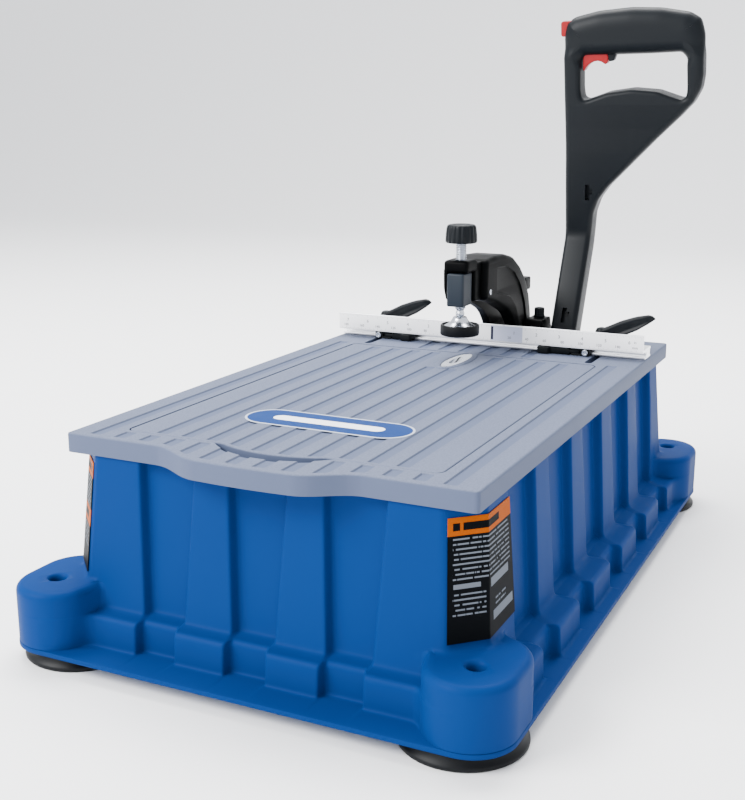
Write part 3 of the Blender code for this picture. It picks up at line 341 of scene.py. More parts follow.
skin = np.concatenate([[ring(*l) for l in levels], [lining(*l) for l in inner]])
base = welded(placed_mesh("base_moulding", placed(skin), grid_faces(*skin.shape[:2], True, True)))
rim = [(0.0, 92.0), (12.0, 92.0), (9.8, POD_TOP + 0.3), (8.6, POD_TOP - 0.4), (7.4, POD_TOP - 1.5),
       (6.7, POD_TOP - 3.5), (6.5, POD_TOP - 7.0), (6.5, -4.0), (0.0, -4.0)]
holes = [(185.1, -14.1), (-185.1, -14.1), (185.1, 604.9), (-185.1, 604.9)]
cutters = [lathe("cutter", rim, (x, y, 0), 40) for x, y in holes]


def block_between(low, high):
    """Plain closed block between two corners, for cutting with."""
    corners = np.array(np.meshgrid(*zip(low, high), indexing="ij")).reshape(3, -1).T
    faces = [(0, 1, 3, 2), (4, 6, 7, 5), (0, 4, 5, 1), (2, 3, 7, 6), (0, 2, 6, 4), (1, 5, 7, 3)]
    return welded(placed_mesh("cutter", placed(corners), faces, False))


cutters.append(block_between((-42, 566, 114), (99, 612, 175)))
cutters.append(bore(8.2, 0, 55, (-41.4, 560, 62), 32, (0, 1, 0)))
carve(base, cutters)
crease(base, 45)


def grained(name, colour, rough, grain, depth, mottle=0.06, metal=0.0, shine=0.15):
    """Plastic, rubber or metal with a fine grain: noise in the bump, and a slow drift in the colour
    and the gloss. grain is in grains to the metre and depth in metres."""
    m = bpy.data.materials.new(name)
    m.use_nodes = True
    nodes, link = m.node_tree.nodes, m.node_tree.links.new
    skin_shader = nodes["Principled BSDF"]
    where = nodes.new("ShaderNodeTexCoord")
    fine, slow = nodes.new("ShaderNodeTexNoise"), nodes.new("ShaderNodeTexNoise")
    fine.inputs["Scale"].default_value, fine.inputs["Detail"].default_value = grain, 3.0
    slow.inputs["Scale"].default_value, slow.inputs["Detail"].default_value = 9.0, 4.0
    tone = nodes.new("ShaderNodeMixRGB")
    low, high = [np.clip(np.array(colour) * (1 + s * mottle), 0, 1) for s in (-1, 1)]
    tone.inputs["Color1"].default_value, tone.inputs["Color2"].default_value = (*low, 1), (*high, 1)
    gloss = nodes.new("ShaderNodeMapRange")
    gloss.inputs["To Min"].default_value, gloss.inputs["To Max"].default_value = rough - 0.05, rough + 0.05
    bump = nodes.new("ShaderNodeBump")
    bump.inputs["Distance"].default_value, bump.inputs["Strength"].default_value = depth, 1.0
    for a, b in ((where.outputs["Object"], fine.inputs["Vector"]),
                 (where.outputs["Object"], slow.inputs["Vector"]),
                 (slow.outputs["Fac"], tone.inputs["Fac"]), (slow.outputs["Fac"], gloss.inputs["Value"]),
                 (gloss.outputs["Result"], skin_shader.inputs["Roughness"]),
                 (tone.outputs["Color"], skin_shader.inputs["Base Color"]),
                 (fine.outputs["Fac"], bump.inputs["Height"]),
                 (bump.outputs["Normal"], skin_shader.inputs["Normal"])):
        link(a, b)
    skin_shader.inputs["Metallic"].default_value = metal
    skin_shader.inputs["Specular IOR Level"].default_value = 0.5 if metal else shine
    return m


def finish_piece(piece, material, body, slot, *nodes):
    """Gives a piece its material and its body, and hides the CAD nodes it stands for. The slot argument is
    not used.
    """
    piece.data.materials.clear()
    piece.data.materials.append(material)
    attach(piece, body)
    if nodes:
        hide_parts(*nodes)
    return piece


blue = grained("blue_moulding", (0.0, 0.024, 0.122), 0.52, 900, 0.00002, 0.05, shine=0.04)
finish_piece(base, blue, "base", "blue_shell", "base_shell")

# ---------------------------------------------------------------- feet
# Four conical discs of black rubber, each pressed up into a pod and held by a plated screw through
# its middle. The pod's bolt hole runs on down through the rubber.
foot_profile = [(3.0, 6.0), (8.0, 6.0), (8.4, 5.6), (8.4, 0.0), (46.6, 0.0), (47.8, 0.4), (48.5, 1.2),
                (48.7, 2.4), (48.6, 3.4), (48.0, 4.3), (46.8, 5.4), (45.6, 7.8), (44.7, 10.2),
                (44.0, 11.6), (43.2, 12.0), (3.0, 12.0)]
rubber = grained("foot_rubber", (0.0024, 0.0030, 0.0040), 0.46, 1400, 0.00004, 0.2, shine=0.14)
plated = grained("zinc_plate", (0.62, 0.65, 0.70), 0.24, 2500, 0.000006, 0.06, metal=1.0)
for corner, sx, sy in (("fl", -1, 0), ("fr", 1, 0), ("rl", -1, 1), ("rr", 1, 1)):
    x, y = sx * 171.3, (-1.4, 592.2)[sy]
    foot = lathe("rubber_foot_" + corner, foot_profile, (x, y, 0), 96)
    carve(foot, [bore(6.5, -5, 20, (sx * 185.1, (-14.1, 604.9)[sy], 0))])
    crease(foot, 35)
    finish_piece(foot, rubber, "base", "tyre_rubber", "foot_" + corner)
    screw = lathe("foot_bolt_" + corner,
                  [(0, 3.6), (2.4, 3.6), (3.0, 1.9), (5.2, 1.5), (6.0, 2.2), (6.0, 5.7), (2.7, 5.7),
                   (2.7, 40.0), (2.0, 41.5), (0, 42.0)], (x, y, 0), 40)
    crease(screw, 35)
    finish_piece(screw, plated, "base", "zinc", "foot_screw_" + corner)

# ---------------------------------------------------------------- table top
# One grey structural-foam moulding: ribs run front to back, the front edge swells forward for the
# hand, and a stepped seat takes the lid. Two slots behind the lid let the fence studs slide.
TOP, UNDER = 186.8, 170.8
PITCH, GROOVE, DEPTH = 23.8, 5.0, 1.2      # rib spacing, groove half width and depth
EDGE_ROUND = 2.0


def front_edge(x):
    """The table's front edge: straight, rising into a flat-crowned cosine swell in the middle."""
    f = 0.5 + 0.5 * np.cos(math.pi * np.clip(np.abs(x) - 40.0, 0, 52.0) / 52.0)
    crown = 1.5 * (1 - np.minimum(1.0, np.abs(x) / 40.0) ** 2)
    turn = np.clip(np.abs(x) - 175.1, 0, 4.0)
    return -21.0 * f - crown + 4.0 - np.sqrt(16.0 - np.minimum(turn, 3.999) ** 2)


def rear_edge(x):
    """The table's rear edge: straight, with the front's rounding at its two corners."""
    return TABLE_LONG - np.maximum(front_edge(x), 0)


def grooved(x, centres):
    """How deep into a groove each x lies: 0 on a rib, 1 on a groove's floor."""
    far = np.abs(x[:, None] - np.asarray(centres)[None])
    return np.clip((GROOVE + 0.45 - far) / 0.9, 0, 1).max(1)


def between(y, start, end, ease=1.1):
    """1 between two lines and 0 outside, sloping over a short ease."""
    return np.clip((y - start) / ease, 0, 1) * np.clip((end - y) / ease, 0, 1)


def rib_columns(half, centres, extra=()):
    """Lines across a ribbed plate: at each groove's edges, round its ends, and where asked."""
    lines = [c + s * GROOVE + d for c in centres for s in (-1, 1) for d in (-0.5, -0.15, 0.15, 0.5)]
    turn = 1.6 * (1 - np.sin(np.radians(np.linspace(0, 90, 6))))
    lines += [s * (half - t) for s in (-1, 1) for t in turn] + list(extra)
    return np.unique(np.round([v for v in lines if abs(v) <= half], 4))


def plate(name, half, x, edge, rear, low, high, rows, r, grooves):
    """A flat moulding with grooves in its top and rounded top edges: for each line across, one closed
    loop runs under it, up the front face, back over the top and down the rear face."""
    ends = np.clip(half - np.abs(x), 0, r)
    drop = r - np.sqrt(np.clip(r * r - (r - ends) ** 2, 0, None))
    front, back = edge(x), rear(x)
    a = np.radians(np.linspace(0, 90, 5))
    ys, zs = [back, front, front], [low, low, low + 1.0]
    ys += [front + r * (1 - np.cos(t)) for t in a] + [front + y for y in rows[0]]
    ys += [np.full(x.size, float(y)) for y in rows[1]] + [back - r * (1 - np.cos(t)) for t in a[::-1]]
    zs += [high - r + r * np.sin(t) for t in a] + [high] * (len(rows[0]) + len(rows[1]))
    zs += [high - r + r * np.sin(t) for t in a[::-1]]
    ys, zs = np.array(ys), np.broadcast_to(np.array(zs, float)[:, None], (len(zs), x.size))
    zs = zs - DEPTH * grooves(x, ys) * (zs > high - 0.01)
    zs = np.minimum(zs, np.maximum(high - drop, low))
    points = np.stack([np.broadcast_to(x, ys.shape), ys, zs], -1)
    lines, n = np.arange(len(ys)) * x.size, x.size
    caps = [lines[::-1].tolist(), (lines + n - 1).tolist()]
    return welded(placed_mesh(name, placed(points), grid_faces(*ys.shape, True).tolist() + caps))


def slab(outline, low, high, name="cutter"):
    """Closed prism of an outline in plan, between two heights."""
    n = len(outline)
    points = [(x, y, z) for z in (low, high) for x, y in outline]
    faces = [[i, (i + 1) % n, n + (i + 1) % n, n + i] for i in range(n)]
    return welded(placed_mesh(name, placed(points), faces + [list(range(n))[::-1], list(range(n, 2 * n))]))


def round_corners(x0, x1, y0, y1, r, n=8):
    """Outline of a rectangle with rounded corners."""
    a = np.radians(np.linspace(0, 90, n + 1))
    out = []
    for cx, cy, q in ((x1 - r, y0 + r, -1), (x1 - r, y1 - r, 0), (x0 + r, y1 - r, 1), (x0 + r, y0 + r, 2)):
        out += [(cx + r * math.cos(t + q * math.pi / 2), cy + r * math.sin(t + q * math.pi / 2)) for t in a]
    return out


def bow(half, y0, sag, n=28):
    """Outline of a segment of a circle: a chord of twice half at y0, bowing forward by sag."""
    r = (half * half + sag * sag) / (2 * sag)
    a = np.linspace(-math.asin(half / r), math.asin(half / r), n)
    return [(r * math.sin(t), y0 - sag + r - r * math.cos(t)) for t in a]


ALL_GROOVES = PITCH * (np.arange(-7, 7) + 0.5)


def table_grooves(x, y):
    """Share of the groove depth over the fixed table: short pads in front of the lid, one long
    groove at each side of it, and grooves that run back under the fence."""
    pads = grooved(x, ALL_GROOVES[1:-1]) * between(y, np.minimum(front_edge(x) + 7.0, 8.0), 24.6)
    sides = grooved(x, ALL_GROOVES[[0, -1]]) * between(y, 7.0, 451.0)
    behind = grooved(x, ALL_GROOVES[np.abs(ALL_GROOVES) < 62]) * between(y, 452.0, 519.0)
    return np.maximum(np.maximum(pads, sides), behind)


table_x = rib_columns(179.1, ALL_GROOVES, np.concatenate(
    [np.arange(-96, 97, 4.0), [s * v for s in (-1, 1) for v in (175.2, 177.0, 178.2)]]))
table_rows = ((3.0, 5.8, 7.0, 7.6, 8.15, 9.0, 11.0),
              (14.0, 23.2, 23.7, 24.2, 24.8, 27.0, 120.0, 240.0, 360.0, 446.0, 449.6, 450.2, 450.9, 451.9,
               452.6, 453.3, 480.0, 517.6, 518.3, 519.1, 560.0, 595.0))
STUD_X, STUD_Y = 127.7, 505.0              # the fence studs, each side of the middle
table = plate("ribbed_table", 179.1, table_x, front_edge, rear_edge, UNDER, TOP, table_rows, EDGE_ROUND,
              table_grooves)
SEAT = (-140.4, 140.4, 27.2, 446.3)
cutters = [slab(round_corners(*SEAT, 8.6), TOP - 8.3, TOP + 5),
           block_between((-132.9, 34.6, UNDER - 5), (132.9, 445.9, TOP + 5)),
           slab(round_corners(-139.9, 139.9, 432, 446.3, 1), TOP - 9.9, TOP - 4),
           slab(bow(56.0, 30.0, 26.0), UNDER + 2.5, TOP + 5),
           block_between((-26, 522, UNDER - 5), (84, 640, TOP + 5))]
cutters += [slab(round_corners(s * STUD_X - 4, s * STUD_X + 4, 452.5, 572.0, 3.9), UNDER - 5, TOP + 5)
            for s in (-1, 1)]
carve(table, cutters)
crease(table, 28)


def foam_grey(name, base=(0.096, 0.113, 0.166)):
    """Grey structural foam: fine pale and dark flecks over the ribs, a leather-fine grain in the
    bump, and painted shade: a darker, cooler grey on every face below the top, in the grooves and on the
    edges."""
    m = grained(name, base, 0.55, 1500, 0.00007, 0.05, shine=0.07)
    nodes, link = m.node_tree.nodes, m.node_tree.links.new
    shader = nodes["Principled BSDF"]
    old = shader.inputs["Base Color"].links[0].from_socket
    where, high = nodes.new("ShaderNodeTexCoord"), nodes.new("ShaderNodeSeparateXYZ")
    # Painted shade mask: 0 below the top, where the grooves and edges take the darker grey, 1 on the top.
    deep = nodes.new("ShaderNodeMapRange")
    deep.inputs["From Min"].default_value = (TOP - 1.1) * 0.001
    deep.inputs["From Max"].default_value = (TOP - 0.2) * 0.001
    fleck = nodes.new("ShaderNodeTexNoise")
    fleck.inputs["Scale"].default_value, fleck.inputs["Detail"].default_value = 620.0, 5.0
    spread = nodes.new("ShaderNodeMapRange")
    spread.inputs["From Min"].default_value, spread.inputs["From Max"].default_value = 0.38, 0.62
    spread.inputs["To Min"].default_value, spread.inputs["To Max"].default_value = 0.90, 1.10
    lift = nodes.new("ShaderNodeMix")
    lift.data_type, lift.blend_type = "RGBA", "MULTIPLY"
    lift.inputs["Factor"].default_value = 1.0
    # Painted shade: faces below the top, in the grooves and on the edges, turn a darker, cooler grey.
    painted_shade = nodes.new("ShaderNodeMix")
    painted_shade.data_type = "RGBA"
    painted_shade.inputs[6].default_value = (*[c * k for c, k in zip(base, (0.76, 0.80, 0.88))], 1)
    link(where.outputs["Object"], high.inputs[0])
    link(high.outputs["Z"], deep.inputs["Value"])
    link(where.outputs["Object"], fleck.inputs["Vector"])
    link(fleck.outputs["Fac"], spread.inputs["Value"])
    link(old, lift.inputs[6])
    link(spread.outputs["Result"], lift.inputs[7])
    link(deep.outputs["Result"], painted_shade.inputs["Factor"])
    link(lift.outputs[2], painted_shade.inputs[7])
    link(painted_shade.outputs[2], shader.inputs["Base Color"])
    return m


grey = foam_grey("grey_foam")
finish_piece(table, grey, "base", "table_grey", "table_top")

# ---------------------------------------------------------------- lid, drill guide and badge
# The lid is the same grey moulding, hinged on a steel pin at its back edge, with a bowed lip to lift
# it by. An oval boss holds the slanted steel drill guide. A plain blue name plate lies on the ribs.
LID_FRONT, LID_BACK, LID_HALF, LID_ROUND = 28.0, 445.0, 139.1, 8.0
PIN = (442.0, 183.8)
LIP_ROUND = (52.0 ** 2 + 14.0 ** 2) / 28.0  # a lip 104 across that stands 14 forward


def lid_corner(x):
    """How far the lid's rounded corner falls back from its straight edge: part of a circle."""
    turn = np.clip(np.abs(x) - (LID_HALF - LID_ROUND), 0, LID_ROUND - 0.001)
    return LID_ROUND - np.sqrt(LID_ROUND ** 2 - turn ** 2)


def lid_edge(x):
    """The lid's front edge: straight with rounded corners, and bowed forward as a lip in the middle."""
    straight = LID_FRONT + lid_corner(x)
    lip = 17.0 + LIP_ROUND - np.sqrt(LIP_ROUND ** 2 - np.minimum(np.abs(x), 60.0) ** 2)
    return np.minimum(straight, np.maximum(lip, 17.0))


def lid_grooves(x, y):
    """Share of the groove depth over the lid; the two middle grooves stop at the drill guide's boss."""
    long = grooved(x, ALL_GROOVES[2:-2]) * between(y, lid_edge(x) + 4.0, 438.5)
    middle_two = np.abs(x) < 18
    return np.where(middle_two, grooved(x, ALL_GROOVES[6:8]) * between(y, 22.0, 366.0), long)


lid_x = rib_columns(LID_HALF, ALL_GROOVES[2:-2], np.concatenate(
    [np.arange(-48, 49, 3.0), [s * (LID_HALF - d) for s in (-1, 1) for d in (2.4, 3.6, 5.2, 8.0)]]))
lid_rows = ((2.0, 3.4, 4.2, 4.7, 5.2, 8.0),
            (60.0, 120.0, 180.0, 240.0, 300.0, 364.6, 365.2, 366.0, 400.0, 437.2, 437.8, 438.6, 441.0))
lid = plate("lift_lid", LID_HALF, lid_x, lid_edge, lambda x: LID_BACK - lid_corner(x),
            TOP - 8.0, TOP, lid_rows, 1.2, lid_grooves)
TILT = math.radians(15.0)


def on_bore(s, n=0.0, x=0.0):
    """Point s along the tilted drilling line from the table top, n square to it, x across."""
    c, t = math.cos(TILT), math.sin(TILT)
    return np.array([x, 406.4 + s * c - n * t, TOP + s * t + n * c])


def along_line(name, profile, sides=48):
    """Profile of (radius, distance) turned round the drilling line."""
    return lathe(name, profile, on_bore(0.0), sides, on_bore(1.0) - on_bore(0.0))


carve(lid, [along_line("cutter", [(0, -60), (9.8, -60), (9.8, 60), (0, 60)]),
            bore(2.1, -150, 150, (0, *PIN), 16, (1, 0, 0))])
crease(lid, 28)
finish_piece(lid, grey, "lid", "table_grey", "table_lid")

plain_a, plain_b = np.array([9.85, 38.2]), np.array([16.5, 46.0])
boss_steps = [(0.0, -2.0), (0.0, 0.55), (0.06, 0.8), (0.16, 0.9), (0.74, 0.9), (0.86, 0.78),
              (0.95, 0.35), (1.0, -0.3), (1.0, -2.0)]
around = 2 * math.pi * np.arange(96) / 96
boss = np.stack([np.stack([(plain_a[0] + (plain_b[0] - plain_a[0]) * f) * np.cos(around),
                           406.4 + (plain_a[1] + (plain_b[1] - plain_a[1]) * f) * np.sin(around),
                           np.full(96, TOP + h)], -1) for f, h in boss_steps])
boss = welded(placed_mesh("guide_boss", placed(boss), grid_faces(len(boss_steps), 96, True, True)))
finish_piece(crease(boss, 40), grey, "lid", "table_grey")

guide = along_line("steel_guide", [(4.9, -45), (9.5, -45), (9.5, 45), (4.9, 45)], 72)
above_lid = block_between((-40, 300, TOP + 0.25), (40, 520, TOP + 40))
crease(carve(guide, [above_lid]), 35)
finish_piece(guide, plated, "lid", "zinc", "drill_guide")
pin = lathe("steel_pin", [(0, -149), (1.4, -149), (1.8, -148.6), (1.8, 148.6), (1.4, 149), (0, 149)],
            (0, *PIN), 24, (1, 0, 0))
finish_piece(crease(pin), plated, "lid", "zinc", "hinge_pin")


def stadium(half, r, cy, n=24):
    """Outline of a round-ended bar."""
    a = np.linspace(-math.pi / 2, math.pi / 2, n)
    return ([(half - r + r * math.cos(t), cy + r * math.sin(t)) for t in a]
            + [(-half + r - r * math.cos(t), cy - r * math.sin(t)) for t in a])


def printed(name, sheen, layers):
    """Printed film: each layer is (colour, mask socket builder), laid over the one before."""
    m = bpy.data.materials.new(name)
    m.use_nodes = True
    nodes, link = m.node_tree.nodes, m.node_tree.links.new
    shader = nodes["Principled BSDF"]
    where = nodes.new("ShaderNodeTexCoord").outputs["Object"]
    colour = None
    for rgb, mask in layers:
        if colour is None:
            first = nodes.new("ShaderNodeTexNoise")
            first.inputs["Scale"].default_value = 60.0
            link(where, first.inputs["Vector"])
            ramp = nodes.new("ShaderNodeMix")
            ramp.data_type = "RGBA"
            ramp.inputs[6].default_value = (*[c * 0.96 for c in rgb], 1)
            ramp.inputs[7].default_value = (*[min(1, c * 1.04) for c in rgb], 1)
            link(first.outputs["Fac"], ramp.inputs["Factor"])
            colour = ramp.outputs[2]
            continue
        over = nodes.new("ShaderNodeMix")
        over.data_type = "RGBA"
        over.inputs[7].default_value = (*rgb, 1)
        link(mask(nodes, link, where), over.inputs["Factor"])
        link(colour, over.inputs[6])
        colour = over.outputs[2]
    link(colour, shader.inputs["Base Color"])
    shader.inputs["Roughness"].default_value = sheen
    shader.inputs["Specular IOR Level"].default_value = 0.02
    return m


def maths(nodes, link, kind, a, b=None, c=None):
    """One Math node on sockets or numbers."""
    n = nodes.new("ShaderNodeMath")
    n.operation = kind
    for slot, v in enumerate((a, b, c)):
        if isinstance(v, (int, float)):
            n.inputs[slot].default_value = v
        elif v is not None:
            link(v, n.inputs[slot])
    return n.outputs[0]


def measured(nodes, link, where):
    """A shorthand for Math nodes, and the three coordinates they start from."""
    part = nodes.new("ShaderNodeSeparateXYZ")
    link(where, part.inputs[0])
    return (lambda *a: maths(nodes, link, *a)), *part.outputs


def in_stadium(half, r, cy):
    """Mask of a round-ended bar in plan, worked out from Object coordinates."""
    def mask(nodes, link, where):
        m, x, y, z = measured(nodes, link, where)
        out = m("MAXIMUM", m("SUBTRACT", m("ABSOLUTE", x), (half - r) * 0.001), 0.0)
        y = m("SUBTRACT", y, (ZERO_Y + cy) * 0.001)
        far = m("SQRT", m("ADD", m("MULTIPLY", out, out), m("MULTIPLY", y, y)))
        return m("LESS_THAN", far, r * 0.001)
    return mask


badge = slab(stadium(77.5, 24.0, 118.0), TOP + 0.03, TOP + 0.3, "name_plate")
film = printed("plate_film", 0.3, [((0.40, 0.44, 0.52), None),
                                   ((0.0, 0.026, 0.132), in_stadium(75.5, 22.0, 118)),
                                   ((0.80, 0.83, 0.88), in_stadium(52.0, 7.0, 118))])
finish_piece(crease(badge), film, "lid", "badge", "lid_badge")

# ---------------------------------------------------------------- fence and rule
# A bright-anodised aluminium extrusion: a T-slot rail on the table and an upright plate in front,
# with the printed rule, inches above and millimetres below, bonded to its face.
FENCE_HALF, ZERO_X = 178.0, 11.0           # half the fence, and x of the rule's zero
rail_section = [(484.0, 195.0), (494.0, 195.0), (494.0, 193.0), (496.0, 193.0), (496.0, 194.2),
                (500.0, 194.2), (500.0, 188.6), (496.0, 188.6), (496.0, 189.8), (494.0, 189.8),
                (494.0, 187.1), (518.0, 187.1), (518.0, 189.2), (515.8, 189.2), (515.8, 195.6),
                (518.0, 195.6), (518.0, 198.0), (495.0, 198.0), (486.5, 198.0), (486.5, 214.0),
                (484.0, 214.0)]


def eased(outline, r=0.35):
    """Outline with each corner cut by two short steps, so that edges catch the light."""
    p = np.array(outline, float)
    before, after = np.roll(p, 1, 0), np.roll(p, -1, 0)
    a = p + (before - p) / np.linalg.norm(before - p, axis=1)[:, None] * r
    b = p + (after - p) / np.linalg.norm(after - p, axis=1)[:, None] * r
    m = p * 0.42 + (a + b) * 0.29
    return np.stack([a, m, b], 1).reshape(-1, 2)


def along_x(name, outline, lines):
    """Section of (y, z) carried across, with flat ends."""
    points = [np.column_stack([np.full(len(outline), x), outline]) for x in lines]
    n, m = len(lines), len(outline)
    caps = [list(range(m)), list(range((n - 1) * m, n * m))[::-1]]
    return welded(placed_mesh(name, placed(points), grid_faces(n, m, False, True).tolist() + caps))


rail = along_x("fence_extrusion", eased(rail_section), [-FENCE_HALF, 0.0, FENCE_HALF])
carve(rail, [bore(3.3, 180, 205, (s * STUD_X, STUD_Y, 0), 32) for s in (-1, 1)])
crease(rail, 30)


def drawn(name, colour, rough):
    """Drawn and anodised aluminium: fine lines along the extrusion in the bump."""
    m = grained(name, colour, rough, 1800, 0.000004, 0.03, metal=0.85)
    nodes, link = m.node_tree.nodes, m.node_tree.links.new
    where, squash_x = nodes.new("ShaderNodeTexCoord"), nodes.new("ShaderNodeMapping")
    squash_x.inputs["Scale"].default_value = (6.0, 2600.0, 2600.0)
    lines = nodes.new("ShaderNodeTexNoise")
    lines.inputs["Scale"].default_value, lines.inputs["Detail"].default_value = 1.0, 2.0
    bump = [n for n in nodes if n.type == "BUMP"][0]
    link(where.outputs["Object"], squash_x.inputs["Vector"])
    link(squash_x.outputs["Vector"], lines.inputs["Vector"])
    link(lines.outputs["Fac"], bump.inputs["Height"])
    return m


bright = drawn("anodised_aluminium", (0.86, 0.87, 0.90), 0.30)
finish_piece(rail, bright, "fence", "aluminium", "fence_rail")

rule = along_x("fence_scale", eased([(483.2, 195.4), (483.7, 195.4), (483.7, 213.6), (483.2, 213.6)], 0.12),
               [-FENCE_HALF, FENCE_HALF])


def tick_mask(pitch, every, low, high, zero):
    """Mask of ruled lines across the plate: one each pitch, longer every so many, from an edge."""
    def mask(nodes, link, where):
        m, x, y, z = measured(nodes, link, where)
        out = None
        for step, length in ((pitch, 0.42), (pitch * every, 0.72), (pitch * every * 2, 1.0)):
            run = m("ADD", m("SUBTRACT", x, zero * 0.001), step * 0.0005 + 1000 * step * 0.001)
            off = m("ABSOLUTE", m("SUBTRACT", m("MODULO", run, step * 0.001), step * 0.0005))
            line = m("LESS_THAN", off, 0.00011)
            z0, z1 = sorted((low, low + (high - low) * length))
            band = m("MULTIPLY", m("GREATER_THAN", z, z0 * 0.001), m("LESS_THAN", z, z1 * 0.001))
            hit = m("MULTIPLY", line, band)
            out = hit if out is None else m("MAXIMUM", out, hit)
        return out
    return mask


def bar_mask(x0, x1, z0, z1):
    """Mask of a plain printed bar on the plate."""
    def mask(nodes, link, where):
        m, x, y, z = measured(nodes, link, where)
        wide = m("LESS_THAN", m("ABSOLUTE", m("SUBTRACT", x, (x0 + x1) * 0.0005)), (x1 - x0) * 0.0005)
        tall = m("LESS_THAN", m("ABSOLUTE", m("SUBTRACT", z, (z0 + z1) * 0.0005)), (z1 - z0) * 0.0005)
        return m("MULTIPLY", wide, tall)
    return mask


ink = (0.22, 0.22, 0.24)
scale_film = printed("rule_print", 0.34, [
    ((0.95, 0.95, 0.96), None), (ink, tick_mask(25.4 / 16, 4, 213.4, 210.0, ZERO_X)),
    (ink, tick_mask(1.0, 5, 195.6, 198.6, ZERO_X)), ((0.50, 0.53, 0.66), bar_mask(9.5, 46.0, 196.0, 213.0)),
    ((0.03, 0.03, 0.05), bar_mask(9.6, 12.4, 197.2, 211.8))])
finish_piece(crease(rule), scale_film, "fence", "aluminium", "fence_rule")

dark_ink = bpy.data.materials.new("rule_figures")
dark_ink.use_nodes = True
ink_shader = dark_ink.node_tree.nodes["Principled BSDF"]
ink_noise, ink_where, ink_tone = [dark_ink.node_tree.nodes.new("ShaderNode" + n)
                                  for n in ("TexNoise", "TexCoord", "Mix")]
ink_noise.inputs["Scale"].default_value = 900.0
ink_tone.data_type = "RGBA"
ink_tone.inputs[6].default_value = (0.05, 0.05, 0.06, 1)
ink_tone.inputs[7].default_value = (0.12, 0.12, 0.14, 1)
for a, b in ((ink_where.outputs["Object"], ink_noise.inputs["Vector"]),
             (ink_noise.outputs["Fac"], ink_tone.inputs["Factor"]),
             (ink_tone.outputs[2], ink_shader.inputs["Base Color"])):
    dark_ink.node_tree.links.new(a, b)
ink_shader.inputs["Roughness"].default_value = 0.5


INK_DEEP, RULE_FACE = 0.05, 483.13         # half the figures' thickness, and where their middle lies


def figures(name, marks, body):
    """Printed figures on the upright plate, as thin raised ink: each mark is text, size, x and z."""
    points, faces = [], []
    for text, size, x, z in marks:
        curve = bpy.data.curves.new("figure", "FONT")
        curve.body, curve.size, curve.align_x, curve.resolution_u = text, size, "CENTER", 3
        curve.extrude = INK_DEEP
        shape = bpy.data.objects.new("figure", curve)
        bpy.context.scene.collection.objects.link(shape)
        flat = bpy.data.meshes.new_from_object(shape.evaluated_get(bpy.context.evaluated_depsgraph_get()))
        co = np.zeros(len(flat.vertices) * 3)
        flat.vertices.foreach_get("co", co)
        co = co.reshape(-1, 3)
        faces += [[v + len(points) for v in p.vertices] for p in flat.polygons]
        points += [(x + c[0], RULE_FACE - c[2], z + c[1]) for c in co]
        bpy.data.objects.remove(shape, do_unlink=True)
    made = welded(placed_mesh(name, placed(points), faces, False))
    made.data.materials.append(dark_ink)
    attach(made, body)
    return made


marks = [(str(abs(k)), 5.0, ZERO_X + 25.4 * k, 204.4)
         for k in range(-7, 7) if k and -178 < ZERO_X + 25.4 * k - 4 < 160]
marks += [(str(abs(k) * 20), 4.0, ZERO_X + 20 * k, 199.2)
          for k in range(-9, 8) if k and -174 < ZERO_X + 20 * k < 158]
marks += [("in", 4.0, 169.5, 205.2), ("mm", 4.0, 169.5, 199.6)]
figures("rule_figures", marks, "fence")

# ---------------------------------------------------------------- fence studs and locking levers
# A plated stud rises through each table slot and the rail; a moulded black wing lever on it locks
# the fence. The wing swells from its hub, with a hollow front face under a raised crest.
black = grained("black_moulding", (0.0036, 0.0050, 0.0066), 0.42, 1300, 0.00003, 0.12, shine=0.12)


def loft(name, sections):
    """Closed body through like sections, capped flat at both ends."""
    n, m = np.shape(sections)[:2]
    caps = [list(range(m))[::-1], list(range((n - 1) * m, n * m))]
    return welded(placed_mesh(name, placed(sections), grid_faces(n, m, False, True).tolist() + caps))


def wing(x0, y0):
    """The lever's wing: super-oval sections along a rising line, pulled in on the front face."""
    u = np.array([-7.0, -5.6, -3.5, 2, 8, 14, 20, 26, 32, 38, 44, 49, 53, 55.5, 56.5])
    top = np.interp(u, [-7, -4, 6, 20, 36, 49, 54, 56.5],
                    [209.5, 213.2, 217.6, 224.6, 230.4, 233.0, 232.2, 229.8])
    low = np.interp(u, [-7, -4, 8, 20, 38, 50, 56.5], [208.5, 205.5, 203.8, 206.8, 215.5, 223.5, 228.6])
    wide = np.interp(u, [-7, -5, 0, 20, 50, 56.5], [1.0, 5.4, 6.4, 5.8, 4.8, 1.2])
    t = 2 * math.pi * np.arange(40) / 40
    c, s = np.cos(t), np.sin(t)
    shape_y = np.sign(c) * np.abs(c) ** 0.55
    hollow = np.where(c < 0, 0.6 * np.exp(-((s + 0.2) / 0.45) ** 2), 0.0)
    out = []
    for k in range(u.size):
        dip = hollow * np.clip((u[k] - 2) / 14, 0, 1) * np.clip((54 - u[k]) / 8, 0, 1)
        z = (top[k] + low[k]) / 2 + (top[k] - low[k]) / 2 * np.sign(s) * np.abs(s) ** 0.8
        out.append(np.column_stack([np.full(40, x0 + u[k]), y0 + wide[k] * (shape_y + dip), z]))
    return loft("wing", out)


